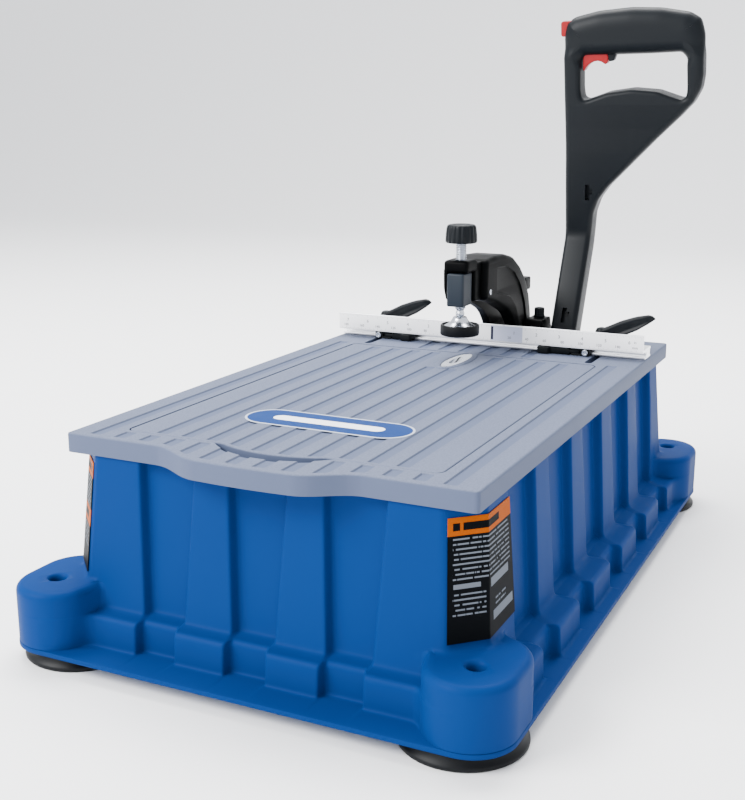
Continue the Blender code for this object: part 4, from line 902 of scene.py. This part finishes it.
for side, s in (("l", -1), ("r", 1)):
    x = s * STUD_X
    stud = lathe("fence_bolt_" + side, [(0, 164.8), (7.0, 164.8), (7.5, 165.3), (7.5, 170.2),
                                        (7.2, 170.5), (3.0, 170.5), (3.0, 206.6), (2.5, 207.3),
                                        (0, 207.3)], (x, STUD_Y, 0), 40)
    finish_piece(crease(stud, 35), plated, "fence", "zinc", "fence_stud_" + side)
    hub = lathe("wing_lever_" + side, [(3.3, 198.3), (7.0, 198.3), (7.6, 198.9), (7.7, 203.0),
                                       (7.3, 208.0), (6.4, 213.0), (5.2, 215.2), (2.6, 216.2),
                                       (0, 216.4), (0, 208.0), (3.3, 207.9)],
                (x, STUD_Y, 0), 48)
    blade = wing(x, STUD_Y)
    carve(blade, [bore(3.3, 190, 208, (x, STUD_Y, 0), 32)])
    carve(hub, [blade], "UNION")
    finish_piece(crease(hub, 40), black, "lever_" + side, "black_plastic", "fence_lever_" + side)

# ---------------------------------------------------------------- swing stops
# Black moulded stops slide in the rail's T-slot: a block with a bright cap screw, and an arm that
# swings out on an upright pin. Their edges are broken by a fine bevel.
def refined(node, name, width, segments=2):
    """A merged copy of a CAD node's own shape with its edges broken."""
    copy = bpy.data.objects.new(name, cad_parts[node].data.copy())
    bpy.context.scene.collection.objects.link(copy)
    welded(copy, 1e-6)
    soften = copy.modifiers.new("edges", "BEVEL")
    soften.width, soften.segments, soften.limit_method = width * 0.001, segments, "ANGLE"
    soften.angle_limit = math.radians(32)
    return crease(copy, 35)


stop_black = grained("stop_black", (0.003, 0.004, 0.005), 0.46, 1500, 0.00003, 0.15, shine=0.10)
for side, sx in (("l", -128.0), ("r", 116.0)):
    finish_piece(refined("stop_block_" + side, "stop_slider_" + side, 0.3), stop_black, "stop_" + side,
                 "black_plastic", "stop_block_" + side)
    finish_piece(refined("stop_arm_" + side, "stop_finger_" + side, 0.3), stop_black, "swing_" + side,
                 "black_plastic", "stop_arm_" + side)
    cap = lathe("stop_cap_screw_" + side, [(0, 1.5), (1.35, 1.4), (1.5, 0.25), (1.75, 0.0), (2.9, 0.0),
                                           (3.25, 0.35), (3.3, 1.9), (1.3, 1.9), (1.3, 7.0), (0, 7.0)],
                (sx, 482.7, 190.9), 40, (0, 1, 0))
    finish_piece(crease(cap, 35), plated, "stop_" + side, "zinc", "stop_screw_" + side)

# ---------------------------------------------------------------- hold-down clamp
# A gooseneck arm cast in black-painted metal carries a square nut block in a yoke; through it runs
# a plated screw with a fluted knob above and a swivelling cup with a rubber pad below.
def eased_loop(corners, step, ease):
    """Closed outline through corners at even steps, its corners eased by averaging along it."""
    p = np.array(corners, float)
    q = np.vstack([p, p[:1]])
    run = np.concatenate([[0], np.cumsum(np.linalg.norm(np.diff(q, axis=0), axis=1))])
    n = int(round(run[-1] / step))
    at = np.arange(n) * run[-1] / n
    loop = np.column_stack([np.interp(at, run, q[:, k]) for k in (0, 1)])
    reach_n = np.arange(-14, 15)
    weight = np.exp(-0.5 * (reach_n * run[-1] / n / ease) ** 2)
    return sum(w * np.roll(loop, k, 0) for k, w in zip(reach_n, weight / weight.sum()))


def inwards(loop):
    """Unit directions into the material side of a loop that runs anticlockwise round it."""
    t = np.roll(loop, -2, 0) - np.roll(loop, 2, 0)
    t /= np.linalg.norm(t, axis=1)[:, None]
    return np.column_stack([-t[:, 1], t[:, 0]])


def pillow(loops, low, high, rounds, soft=(True, True), steps=6):
    """Points and faces of a closed body between two flats n = low and high, seen along n. Each
    loop's edge is an arc; its inset and height are one size, or rounds(points) gives them.
    Loops after the first are holes."""
    angle = np.radians(np.linspace(0, 90, steps))
    plan = []
    for which, flat, away in ((soft[0], low, 1), (soft[1], high, -1)):
        arcs = [(1 - math.cos(a), 1 - math.sin(a)) for a in angle] if which else [(0.0, 0.0)]
        plan.append([(f, flat, away * g) for f, g in arcs])
    plan = plan[0][::-1] + plan[1]
    points, faces, first, last = [], [], [], []
    for loop in loops:
        inset, height = rounds(loop) if callable(rounds) else np.full((2, len(loop)), rounds)
        into = inwards(loop)
        base_at, m = sum(len(p) for p in points), len(loop)
        for f, flat, g in plan:
            xy = loop + into * (inset * f)[:, None]
            points.append(np.column_stack([xy, flat + g * height]))
        rows = grid_faces(len(plan), m, False, True) + base_at
        faces += rows.tolist()
        first.append((points[-len(plan)], base_at))
        last.append((points[-1], base_at + (len(plan) - 1) * m))
    for ends in (first, last):
        index = np.concatenate([np.arange(len(p)) + at for p, at in ends])
        tris = tessellate_polygon([[Vector((a, b, 0)) for a, b, c in p] for p, at in ends])
        faces += [[int(index[i]) for i in t] for t in tris]
    return np.concatenate(points), faces


def pillow_body(name, outline, low, high, r, ease, step, steps=5, place=placed):
    """A pillow of one outline, turned anticlockwise by the sign of its area, and put in its place.
    As it stands, the outline is in plan and the thickness is upright."""
    loop = eased_loop(outline, step, ease)
    if np.sum(loop[:, 0] * np.roll(loop[:, 1], -1) - np.roll(loop[:, 0], -1) * loop[:, 1]) < 0:
        loop = loop[::-1]
    points, faces = pillow([loop], low, high, r, steps=steps)
    return welded(placed_mesh(name, place(points), faces))


def side_body(name, outline, x0, x1, r, ease=2.5, step=2.0):
    """A pillow whose outline is (y, z) and whose thickness is across the machine."""
    return pillow_body(name, outline, x0, x1, r, ease, step, 6, lambda p: placed(p[:, [2, 0, 1]]))


arm_outline = ([(439, 247), (439, 286), (442, 289.6), (470, 291.5), (500, 290), (526, 284.5),
                (550, 272), (570, 255.5), (584, 236), (592, 213), (595, 190), (595, 165)]
               + [(573 + 22 * math.cos(math.radians(a)), 150 + 22 * math.sin(math.radians(a)))
                  for a in range(20, -201, -20)]
               + [(547, 178), (537, 196), (529, 208), (519, 218), (506, 226), (490, 232), (468, 240)])
gooseneck = side_body("gooseneck_arm", arm_outline, -20, 20, 5.5, 2.6)
panel = side_body("cutter", [(470, 251), (470, 279), (500, 277), (527, 268), (549, 252), (566, 230),
                             (576, 206), (581, 172), (560, 172), (553, 196), (545, 214), (533, 230),
                             (515, 241), (495, 246)], 18.4, 40, 2.0, 3.0)
SHAFT, SHAFT_HOLE = (0, 573, 150), 8.3     # the cross shaft that the arm and the lever turn on
carve(gooseneck, [panel, bore(SHAFT_HOLE, -30, 30, SHAFT, 40, (1, 0, 0)),
                  block_between((-9, 452, 205), (9, 620, 262))])
painted = grained("black_paint", (0.0006, 0.0008, 0.0010), 0.42, 1000, 0.00005, 0.15, shine=0.035)
finish_piece(crease(gooseneck, 38), painted, "arm", "black_metal", "clamp_arm")


SCREW = (0, 414, 0)                        # the upright line that the clamp screw turns on
yoke = pillow_body("clamp_yoke", [(-14.7, 400.3), (13.0, 400.3), (13.0, 431), (-14.7, 431)],
                   279.0, 292.0, 3.6, 3.4, 0.9)
carve(yoke, [bore(6.0, 270, 300, SCREW)])
neck = pillow_body("clamp_neck", [(-11, 424.4), (12.0, 424.4), (13.5, 443), (-13.5, 443)],
                   247.5, 288.0, 2.0, 1.6, 0.9)
cheek = side_body("clamp_cheek", [(402.4, 262), (401.4, 284), (431, 284), (431, 249), (409, 249)],
                  -14.6, -9.7, 1.8, 2.2, 1.0)
lug = side_body("clamp_lug", [(576, 239), (596, 239), (596, 254), (576, 254)], 4, 17, 1.6, 1.8, 1.0)
for casting in (yoke, neck, cheek, lug):
    finish_piece(crease(casting, 38), painted, "arm", "black_metal")

nut_grey = grained("nut_block_paint", (0.015, 0.021, 0.029), 0.42, 1400, 0.00004, 0.15, shine=0.15)
nut = pillow_body("nut_block", [(-9.4, 397.6), (9.4, 397.6), (9.4, 423.8), (-9.4, 423.8)],
                  244.5, 278.6, 1.7, 1.9, 0.7)
carve(nut, [bore(5.8, 240, 290, SCREW)])
finish_piece(crease(nut, 38), nut_grey, "arm", "black_metal", "clamp_block")
side_screw = lathe("arm_side_screw", [(0, 0.6), (1.3, 0.6), (1.5, 1.7), (2.6, 1.5), (3.0, 0.9),
                                      (3.0, -1.4), (0, -1.4)],
                   (18.9, 451, 254.4), 36, (1, 0, 0))
finish_piece(crease(side_screw, 35), plated, "arm", "zinc", "arm_screw")

PAD_Z = 213.0
pad_rows = [(0, 0.0), (18.8, 0.0), (20.0, 0.5), (20.5, 1.6), (20.5, 9.6), (20.1, 10.9), (19.2, 11.5),
            (18.3, 11.3), (17.8, 10.5), (17.6, 9.4), (17.6, 7.5), (0, 7.5)]
pad = lathe("rubber_pad", [(r, PAD_Z + z) for r, z in pad_rows], SCREW, 96)
finish_piece(crease(pad, 35), rubber, "pad", "tyre_rubber", "pad_rubber")
cup_rows = [(0, 7.8), (17.3, 7.8), (17.35, 9.3), (16.6, 9.9), (14.6, 10.9), (12.2, 12.3), (10.2, 13.9),
            (8.8, 15.6), (7.8, 17.4), (7.0, 19.1), (6.4, 19.5), (3.6, 19.5), (3.2, 19.2), (3.2, 12.5),
            (0, 12.5)]
cup = lathe("swivel_cup", [(r, PAD_Z + z) for r, z in cup_rows], SCREW, 96)
finish_piece(crease(cup, 45), plated, "pad", "zinc", "pad_cup")


def turned_rings(name, radii, heights, at):
    """Closed body round an upright line, from the radius at every height and bearing."""
    radii = np.asarray(radii, float)
    turn = 2 * math.pi * np.arange(radii.shape[1]) / radii.shape[1]
    points = np.stack([at[0] + radii * np.cos(turn), at[1] + radii * np.sin(turn),
                       np.broadcast_to(np.reshape(heights, (-1, 1)), radii.shape)], -1)
    return welded(placed_mesh(name, placed(points), grid_faces(*radii.shape, False, True)))


# screw thread: the radius follows a triangle wave of the height less the turn
SPOKES, LEAD, THREAD_R = 44, 1.75, 5.7
heights = np.arange(PAD_Z + 28.6, 309.01, 0.22)
wave = np.abs(((heights[:, None] / LEAD - np.arange(SPOKES) / SPOKES) % 1.0) - 0.5) * 2
run_in = np.clip((heights - heights[0]) / 0.6, 0.15, 1)[:, None]
lower = [(0.0, 12.9), (2.3, 13.2), (2.9, 14.2), (2.9, 19.4), (3.3, 20.2), (4.4, 21.0), (4.7, 22.2),
         (4.5, 23.8), (4.0, 24.8), (3.8, 25.6), (3.8, 26.6), (4.6, 27.6)]
radii = np.vstack([np.tile([[r] for r, z in lower], SPOKES),
                   THREAD_R - 0.85 * np.clip(wave * 1.25 - 0.1, 0, 1) * run_in, np.zeros((1, SPOKES))])
thread = turned_rings("clamp_thread", radii, [PAD_Z + z for r, z in lower] + [*heights, 309.0], SCREW)
finish_piece(crease(thread, 50), plated, "spindle", "zinc", "clamp_spindle")


def fluted(name, rows, flutes, sides, deep, sharp, at):
    """Turned body of (radius, height, share) whose radius dips in a raised cosine at each flute."""
    dip = (0.5 - 0.5 * np.cos(flutes * 2 * math.pi * np.arange(sides) / sides)) ** sharp
    return turned_rings(name, [r - deep * k * dip for r, z, k in rows], [z for r, z, k in rows], at)


knob_rows = [(0.0, 309.4, 0), (14.6, 309.4, 0.0), (15.6, 309.7, 0.5), (16.4, 310.6, 1.0),
             (16.5, 312.5, 1.0), (16.2, 318.0, 1.0), (15.7, 323.0, 1.0), (15.3, 325.4, 0.9),
             (14.7, 327.0, 0.6), (13.6, 328.0, 0.25), (12.0, 328.4, 0.0), (9.5, 328.35, 0.0),
             (8.8, 327.8, 0.0), (0.0, 327.8, 0.0)]
knob = fluted("fluted_knob", knob_rows, 18, 216, 0.75, 1.6, SCREW)
finish_piece(crease(knob, 50), black, "spindle", "black_plastic", "clamp_knob")

# ---------------------------------------------------------------- pivot block
# The lever's pivot stands between the clamp arm and the lever: a painted block on the shaft with
# a ribbed moulded cap bolt on top.
post = side_body("pivot_post", [(556, 120), (597, 120), (597, 196), (592, 209), (562, 209), (556, 200)],
                 22.6, 43.6, 1.2, 1.4, 1.2)
carve(post, [bore(SHAFT_HOLE, 10, 50, SHAFT, 40, (1, 0, 0))])
finish_piece(crease(post, 38), painted, "base", "black_metal", "pivot_block")
cap_rows = [(0.0, 209.35, 0), (6.2, 209.35, 0.0), (6.6, 209.9, 0.0), (6.6, 211.6, 0.0),
            (5.9, 211.9, 0.3), (5.9, 219.0, 1.0), (5.6, 220.0, 0.7), (4.9, 220.5, 0.0),
            (3.0, 220.5, 0.0), (2.7, 220.0, 0.0), (2.7, 216.4, 0.0), (0.0, 216.4, 0.0)]
cap_bolt = fluted("ribbed_cap_bolt", cap_rows, 14, 112, 0.55, 1.0, (34, 579))
finish_piece(crease(cap_bolt, 45), black, "base", "black_plastic", "pivot_bolt")

# ---------------------------------------------------------------- feed lever
# Two moulded half-shells screwed together make the cranked lever and its D-grip. The grip is
# fatter and rounder than the shank; the front shell has T-shaped recesses for the screw heads.
# heading of the shank and of the grip, height of the bend between them, half the thickness
LEAN, NOD, KINK, HALF_T = math.radians(25), math.radians(-8), 164.0, 14.0


def on_lever(p, bend=14.0):
    """Places points (x, n, t): t runs up the lever and n to its back, with a soft bend at the kink.
    The heading is eased from the lean to the nod over the bend and its integral gives the line."""
    p = np.asarray(p, float)
    x, n, t = p[..., 0], p[..., 1], p[..., 2]
    fine = np.linspace(-60, 470, 2121)
    mix = np.clip((fine - KINK + bend) / (2 * bend), 0, 1)
    heading = LEAN + (NOD - LEAN) * mix * mix * (3 - 2 * mix)
    step = fine[1] - fine[0]
    y = np.concatenate([[0], np.cumsum(np.sin((heading[1:] + heading[:-1]) / 2)) * step])
    z = np.concatenate([[0], np.cumsum(np.cos((heading[1:] + heading[:-1]) / 2)) * step])
    y, z = y - np.interp(0, fine, y), z - np.interp(0, fine, z)
    h = np.interp(t, fine, heading)
    return placed(np.stack([x, SHAFT[1] + np.interp(t, fine, y) + np.cos(h) * n,
                            SHAFT[2] + np.interp(t, fine, z) - np.sin(h) * n], -1))


def banded(piece, heights):
    """Cuts the flat faces of a body along level lines, so that it can be bent."""
    bm = bmesh.new()
    bm.from_mesh(piece.data)
    for h in heights:
        bmesh.ops.bisect_plane(bm, geom=bm.verts[:] + bm.edges[:] + bm.faces[:], dist=1e-6,
                               plane_co=(0, 0, h), plane_no=(0, 0, 1))
    bmesh.ops.recalc_face_normals(bm, faces=bm.faces)
    bm.to_mesh(piece.data)
    bm.free()
    return piece


def mapped(piece, how):
    """Moves every point of a piece by a rule."""
    flat = np.empty(len(piece.data.vertices) * 3, np.float32)
    piece.data.vertices.foreach_get("co", flat)
    piece.data.vertices.foreach_set("co", np.asarray(how(flat.reshape(-1, 3)), np.float32).ravel())
    piece.data.update()
    return piece


k = KINK
lever_out = ([(47, -6), (49, -14), (54, -18), (70, -18), (75.5, -14), (77, -6), (77, 60), (76.5, k),
              (79, k + 28), (85, k + 45), (96, k + 60), (150, k + 115), (176, k + 140), (189, k + 154),
              (196.5, k + 168), (198.5, k + 182), (197.5, k + 225), (193, k + 241), (181, k + 248),
              (150, k + 253.5), (118, k + 255), (82, k + 252.5), (56, k + 247), (46.5, k + 241),
              (43.5, k + 228), (45.0, k + 150), (46, k + 100), (46, k)])
lever_in = [(65, k + 160), (70, k + 157.5), (95, k + 166), (122, k + 169.5), (150, k + 167),
            (176, k + 158), (181, k + 160), (182, k + 168), (180.5, k + 200), (174, k + 207),
            (140, k + 206), (92, k + 205.5), (68, k + 205.5), (63.5, k + 200), (63.5, k + 170)]
loops = [eased_loop(lever_out, 2.0, 2.4), eased_loop(lever_in, 2.0, 1.8)[::-1]]


def shell_edge(loop):
    """How far in and how deep the shell's edge is rounded: wide on the grip, tight on the shank."""
    inside = (loop[:, 1] > k + 150) * (loop[:, 1] < k + 212) * (loop[:, 0] > 56) * (loop[:, 0] < 190)
    grip = np.clip((loop[:, 1] - (k + np.where(inside, 192, 202))) / np.where(inside, 12, 14), 0, 1)
    grip = grip * grip * (3 - 2 * grip)
    shank = 5.5 + 1.5 * np.clip((loop[:, 1] - k - 60) / 50, 0, 1) * (1 - inside)
    wide = np.where(inside, 13.0, 21.0)
    return shank + (wide - shank) * grip, shank + (12.4 - shank) * grip


def lever_cutter(x0, x1, n0, n1, t0, t1):
    """Plain closed block in the lever's own millimetres, for cutting it before it is bent."""
    c = [(x, n, t) for t in (t0, t1) for n in (n0, n1) for x in (x0, x1)]
    return placed_mesh("cutter", c, [(0, 2, 3, 1), (4, 5, 7, 6), (0, 1, 5, 4), (2, 6, 7, 3), (0, 4, 6, 2),
                                     (1, 3, 7, 5)], False)


def creased(q):
    """A slight hollow across the broad web under the opening, above its fold."""
    q = q.copy()
    rise = np.clip((q[:, 2] - (k + 100)) / 26, 0, 1) * np.clip((k + 152 - q[:, 2]) / 26, 0, 1)
    q[:, 1] += 0.6 * rise * np.sign(-q[:, 1]) * np.clip((np.abs(q[:, 1]) - 2) / 10, 0, 1)
    return q


tees = ((61.0, 62.0), (73.0, k + 54.0))    # the two screw recesses, across and up
for name, low, high, soft, node in (("lever_front_shell", -HALF_T, -0.15, (True, False), "handle_front"),
                                    ("lever_back_shell", 0.15, HALF_T, (False, True), "handle_back")):
    p, faces = pillow(loops, low, high, shell_edge, soft, steps=8)
    shell = welded(placed_mesh(name, p[:, [0, 2, 1]], faces, False), 1e-4)
    tools = [lever_cutter(64.5, 94.5, -6.0, 6.0, k + 190, k + 222),
             lever_cutter(38, 60, -5.3, 5.3, k + 225.5, k + 243.5)]
    for tx, tt in tees if soft[0] else ():
        tools += [lever_cutter(tx - 2.6, tx + 2.6, -16, -7.5, tt - 9, tt + 9),
                  lever_cutter(tx + 2.5, tx + 6.0, -16, -7.5, tt - 2, tt + 4.5)]
    carve(shell, tools)
    banded(shell, np.concatenate([k + np.linspace(-15, 15, 31), k + np.linspace(60, 148, 23)]))
    mapped(shell, lambda q: on_lever(creased(q)))
    carve(shell, [bore(7.6, 30, 90, SHAFT, 40, (1, 0, 0))])
    finish_piece(crease(shell, 34), black, "feed_lever", "black_plastic", node)

red = grained("red_moulding", (0.24, 0.0008, 0.004), 0.34, 1200, 0.00003, 0.06, shine=0.2)


def lever_body(name, outline, half, r, ease):
    """A pillow seen along the lever's thickness, placed on the lever."""
    return pillow_body(name, outline, -half, half, r, ease, 0.8, 5, lambda p: on_lever(p[:, [0, 2, 1]]))


trigger = lever_body("trigger_blade", [(65.2, k + 189.5), (66.2, k + 188.6), (68.5, k + 192.5),
                                       (72, k + 196.2), (77, k + 198.9), (82, k + 199.6),
                                       (86, k + 198.5), (89.3, k + 196.2), (91.0, k + 195.6),
                                       (93.2, k + 198.2), (93.6, k + 204), (89, k + 215.6),
                                       (66, k + 215.6), (65.2, k + 212)], 5.6, 1.1, 0.7)
finish_piece(crease(trigger, 38), red, "trigger_body", "red_plastic", "trigger")
button = lever_body("lock_off_button", [(39.5, k + 227.8), (41.3, k + 226.2), (54, k + 226.2),
                                        (54, k + 242.8), (41.3, k + 242.8), (39.5, k + 241.2)],
                    4.9, 1.0, 0.7)
finish_piece(crease(button, 38), red, "button_body", "red_plastic", "lock_button")
catch = lever_body("trigger_stop", [(88.0, k + 207.5), (95.0, k + 198.6), (99.5, k + 199.2),
                                    (101.2, k + 203.5), (103.0, k + 208)],
                   4.4, 0.9, 0.6)
finish_piece(crease(catch, 38), black, "feed_lever", "black_plastic")

# ---------------------------------------------------------------- works under the table
# The drill unit slides on two ground rods between pressed steel brackets; motor, gearcase, chuck and
# bit lie along the bore line. Their turned shapes stay and take machined and painted surfaces.
steel = grained("ground_steel", (0.46, 0.47, 0.49), 0.30, 1800, 0.00001, 0.08, metal=1.0)
cast = grained("cast_aluminium", (0.56, 0.57, 0.58), 0.45, 900, 0.00006, 0.12, metal=1.0)
for material, slot, nodes in (
        (painted, "black_metal", ("motor_body", "carriage")), (cast, "aluminium", ("gearcase",)),
        (black, "black_plastic", ("cord_gland",)),
        (plated, "zinc", ("drill_bit", "guide_rod_l", "guide_rod_r")),
        (steel, "steel", ("chuck", "depth_collar", "rod_bracket_front", "rod_bracket_rear", "pivot_plate_l",
                          "pivot_plate_r", "pivot_shaft"))):
    for node in nodes:
        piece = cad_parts[node]
        piece.data.materials.clear()
        piece.data.materials.append(material)

# ---------------------------------------------------------------- caution labels
# A film label is wrapped over each front corner: a black field with an orange heading band above
# rows of pale bars and two blank panels. It has no wording.
LABEL_WIDE, LABEL_LOW, LABEL_HIGH = 75.0, 72.0, 163.0


def label_sheet(name, s):
    """A thin film over the corner's chamfer and side, with a texture layout in fractions of its size."""
    rows_z = np.linspace(LABEL_LOW, LABEL_HIGH, 8)
    across = np.array([0.0, 31.0, 32.0, LABEL_WIDE]) / LABEL_WIDE

    def skin(off):
        out = []
        for z in rows_z:
            hx, hy = wall_half(z)
            x, y, grow = hx, MIDDLE - hy, 1.6 * (LABEL_HIGH - z) / (LABEL_HIGH - LABEL_LOW)
            o, d = off * 0.414, off * 0.7071
            plan = ((x - 22 - grow + d, y + 2 - grow - d), (x + off - 0.4, y + 23.6 - o),
                    (x + off, y + 24.6 - o), (x + off, 69.5 + grow))
            out.append([(s * px, py, z) for px, py in plan])
        return np.array(out)
    n = len(rows_z)
    near = grid_faces(n, 4)
    rim = ([(i, i + 1) for i in range(3)] + [(i * 4 + 3, i * 4 + 7) for i in range(n - 1)]
           + [((n - 1) * 4 + i + 1, (n - 1) * 4 + i) for i in range(3)]
           + [(i * 4 + 4, i * 4) for i in range(n - 1)])
    faces = near.tolist() + (near[:, ::-1] + n * 4).tolist()
    faces += [(b, a, a + n * 4, b + n * 4) for a, b in rim]
    points = np.concatenate([skin(0.75).reshape(-1, 3), skin(0.30).reshape(-1, 3)])
    sheet = placed_mesh(name, placed(points), faces, False)
    layout = sheet.data.uv_layers.new(name="film")
    for corner in sheet.data.loops:
        row, column = divmod(corner.vertex_index % (n * 4), 4)
        layout.data[corner.index].uv = (across[column], row / (n - 1))
    return welded(sheet)


def panel_mask(u0, u1, v0, v1, pitch=0.0, words=0.0):
    """Mask of a box in the label's millimetres; with a pitch, of rows of broken bars inside it."""
    def mask(nodes, link, where):
        flat = nodes.new("ShaderNodeUVMap")
        flat.uv_map = "film"
        m, u, v, w = measured(nodes, link, flat.outputs["UV"])
        u, v = m("MULTIPLY", u, LABEL_WIDE), m("MULTIPLY", v, LABEL_HIGH - LABEL_LOW)
        box = m("MULTIPLY", m("MULTIPLY", m("GREATER_THAN", u, u0), m("LESS_THAN", u, u1)),
                m("MULTIPLY", m("GREATER_THAN", v, v0), m("LESS_THAN", v, v1)))
        if not pitch:
            return box
        line = m("DIVIDE", m("SUBTRACT", v, v0), pitch)
        bars = m("LESS_THAN", m("FRACT", line), 0.34)
        spread, at = nodes.new("ShaderNodeTexNoise"), nodes.new("ShaderNodeCombineXYZ")
        link(m("MULTIPLY", u, 0.33), at.inputs["X"])
        link(m("MULTIPLY", m("FLOOR", line), 7.31), at.inputs["Y"])
        link(at.outputs[0], spread.inputs["Vector"])
        spread.inputs["Scale"].default_value, spread.inputs["Detail"].default_value = 1.0, 1.0
        return m("MULTIPLY", box, m("MULTIPLY", bars, m("GREATER_THAN", spread.outputs["Fac"], words)))
    return mask


ink, warm, pale = (0.0022, 0.0028, 0.0036), (0.30, 0.058, 0.001), (0.11, 0.125, 0.15)
layers = [(ink, None), (warm, panel_mask(-1, 76, 78.0, 92)), (ink, panel_mask(4, 9.5, 81.5, 87.0)),
          (ink, panel_mask(12.0, 52, 81.5, 87.0)), (pale, panel_mask(4.0, 70, 46.0, 76.0, 3.6, 0.40)),
          (pale, panel_mask(4.5, 25, 39.5, 43.0)), (pale, panel_mask(4, 29, 20.0, 36.0, 3.7, 0.42)),
          (pale, panel_mask(34.5, 66, 37.0, 43.5)), (pale, panel_mask(38, 72, 11.0, 18.0)),
          (pale, panel_mask(42, 60, 21.0, 29.0, 4.0, 0.42))]
second_band = [(warm, panel_mask(-1, 76, 38.0, 52.0)), (ink, panel_mask(10, 60, 42.0, 48.0))]
for side, s, extra in (("l", -1, second_band), ("r", 1, [])):
    sheet = label_sheet("caution_film_" + side, s)
    film = printed("label_film_" + side, 0.5, layers + extra)
    finish_piece(sheet, film, "base", "label", "caution_label_" + side)
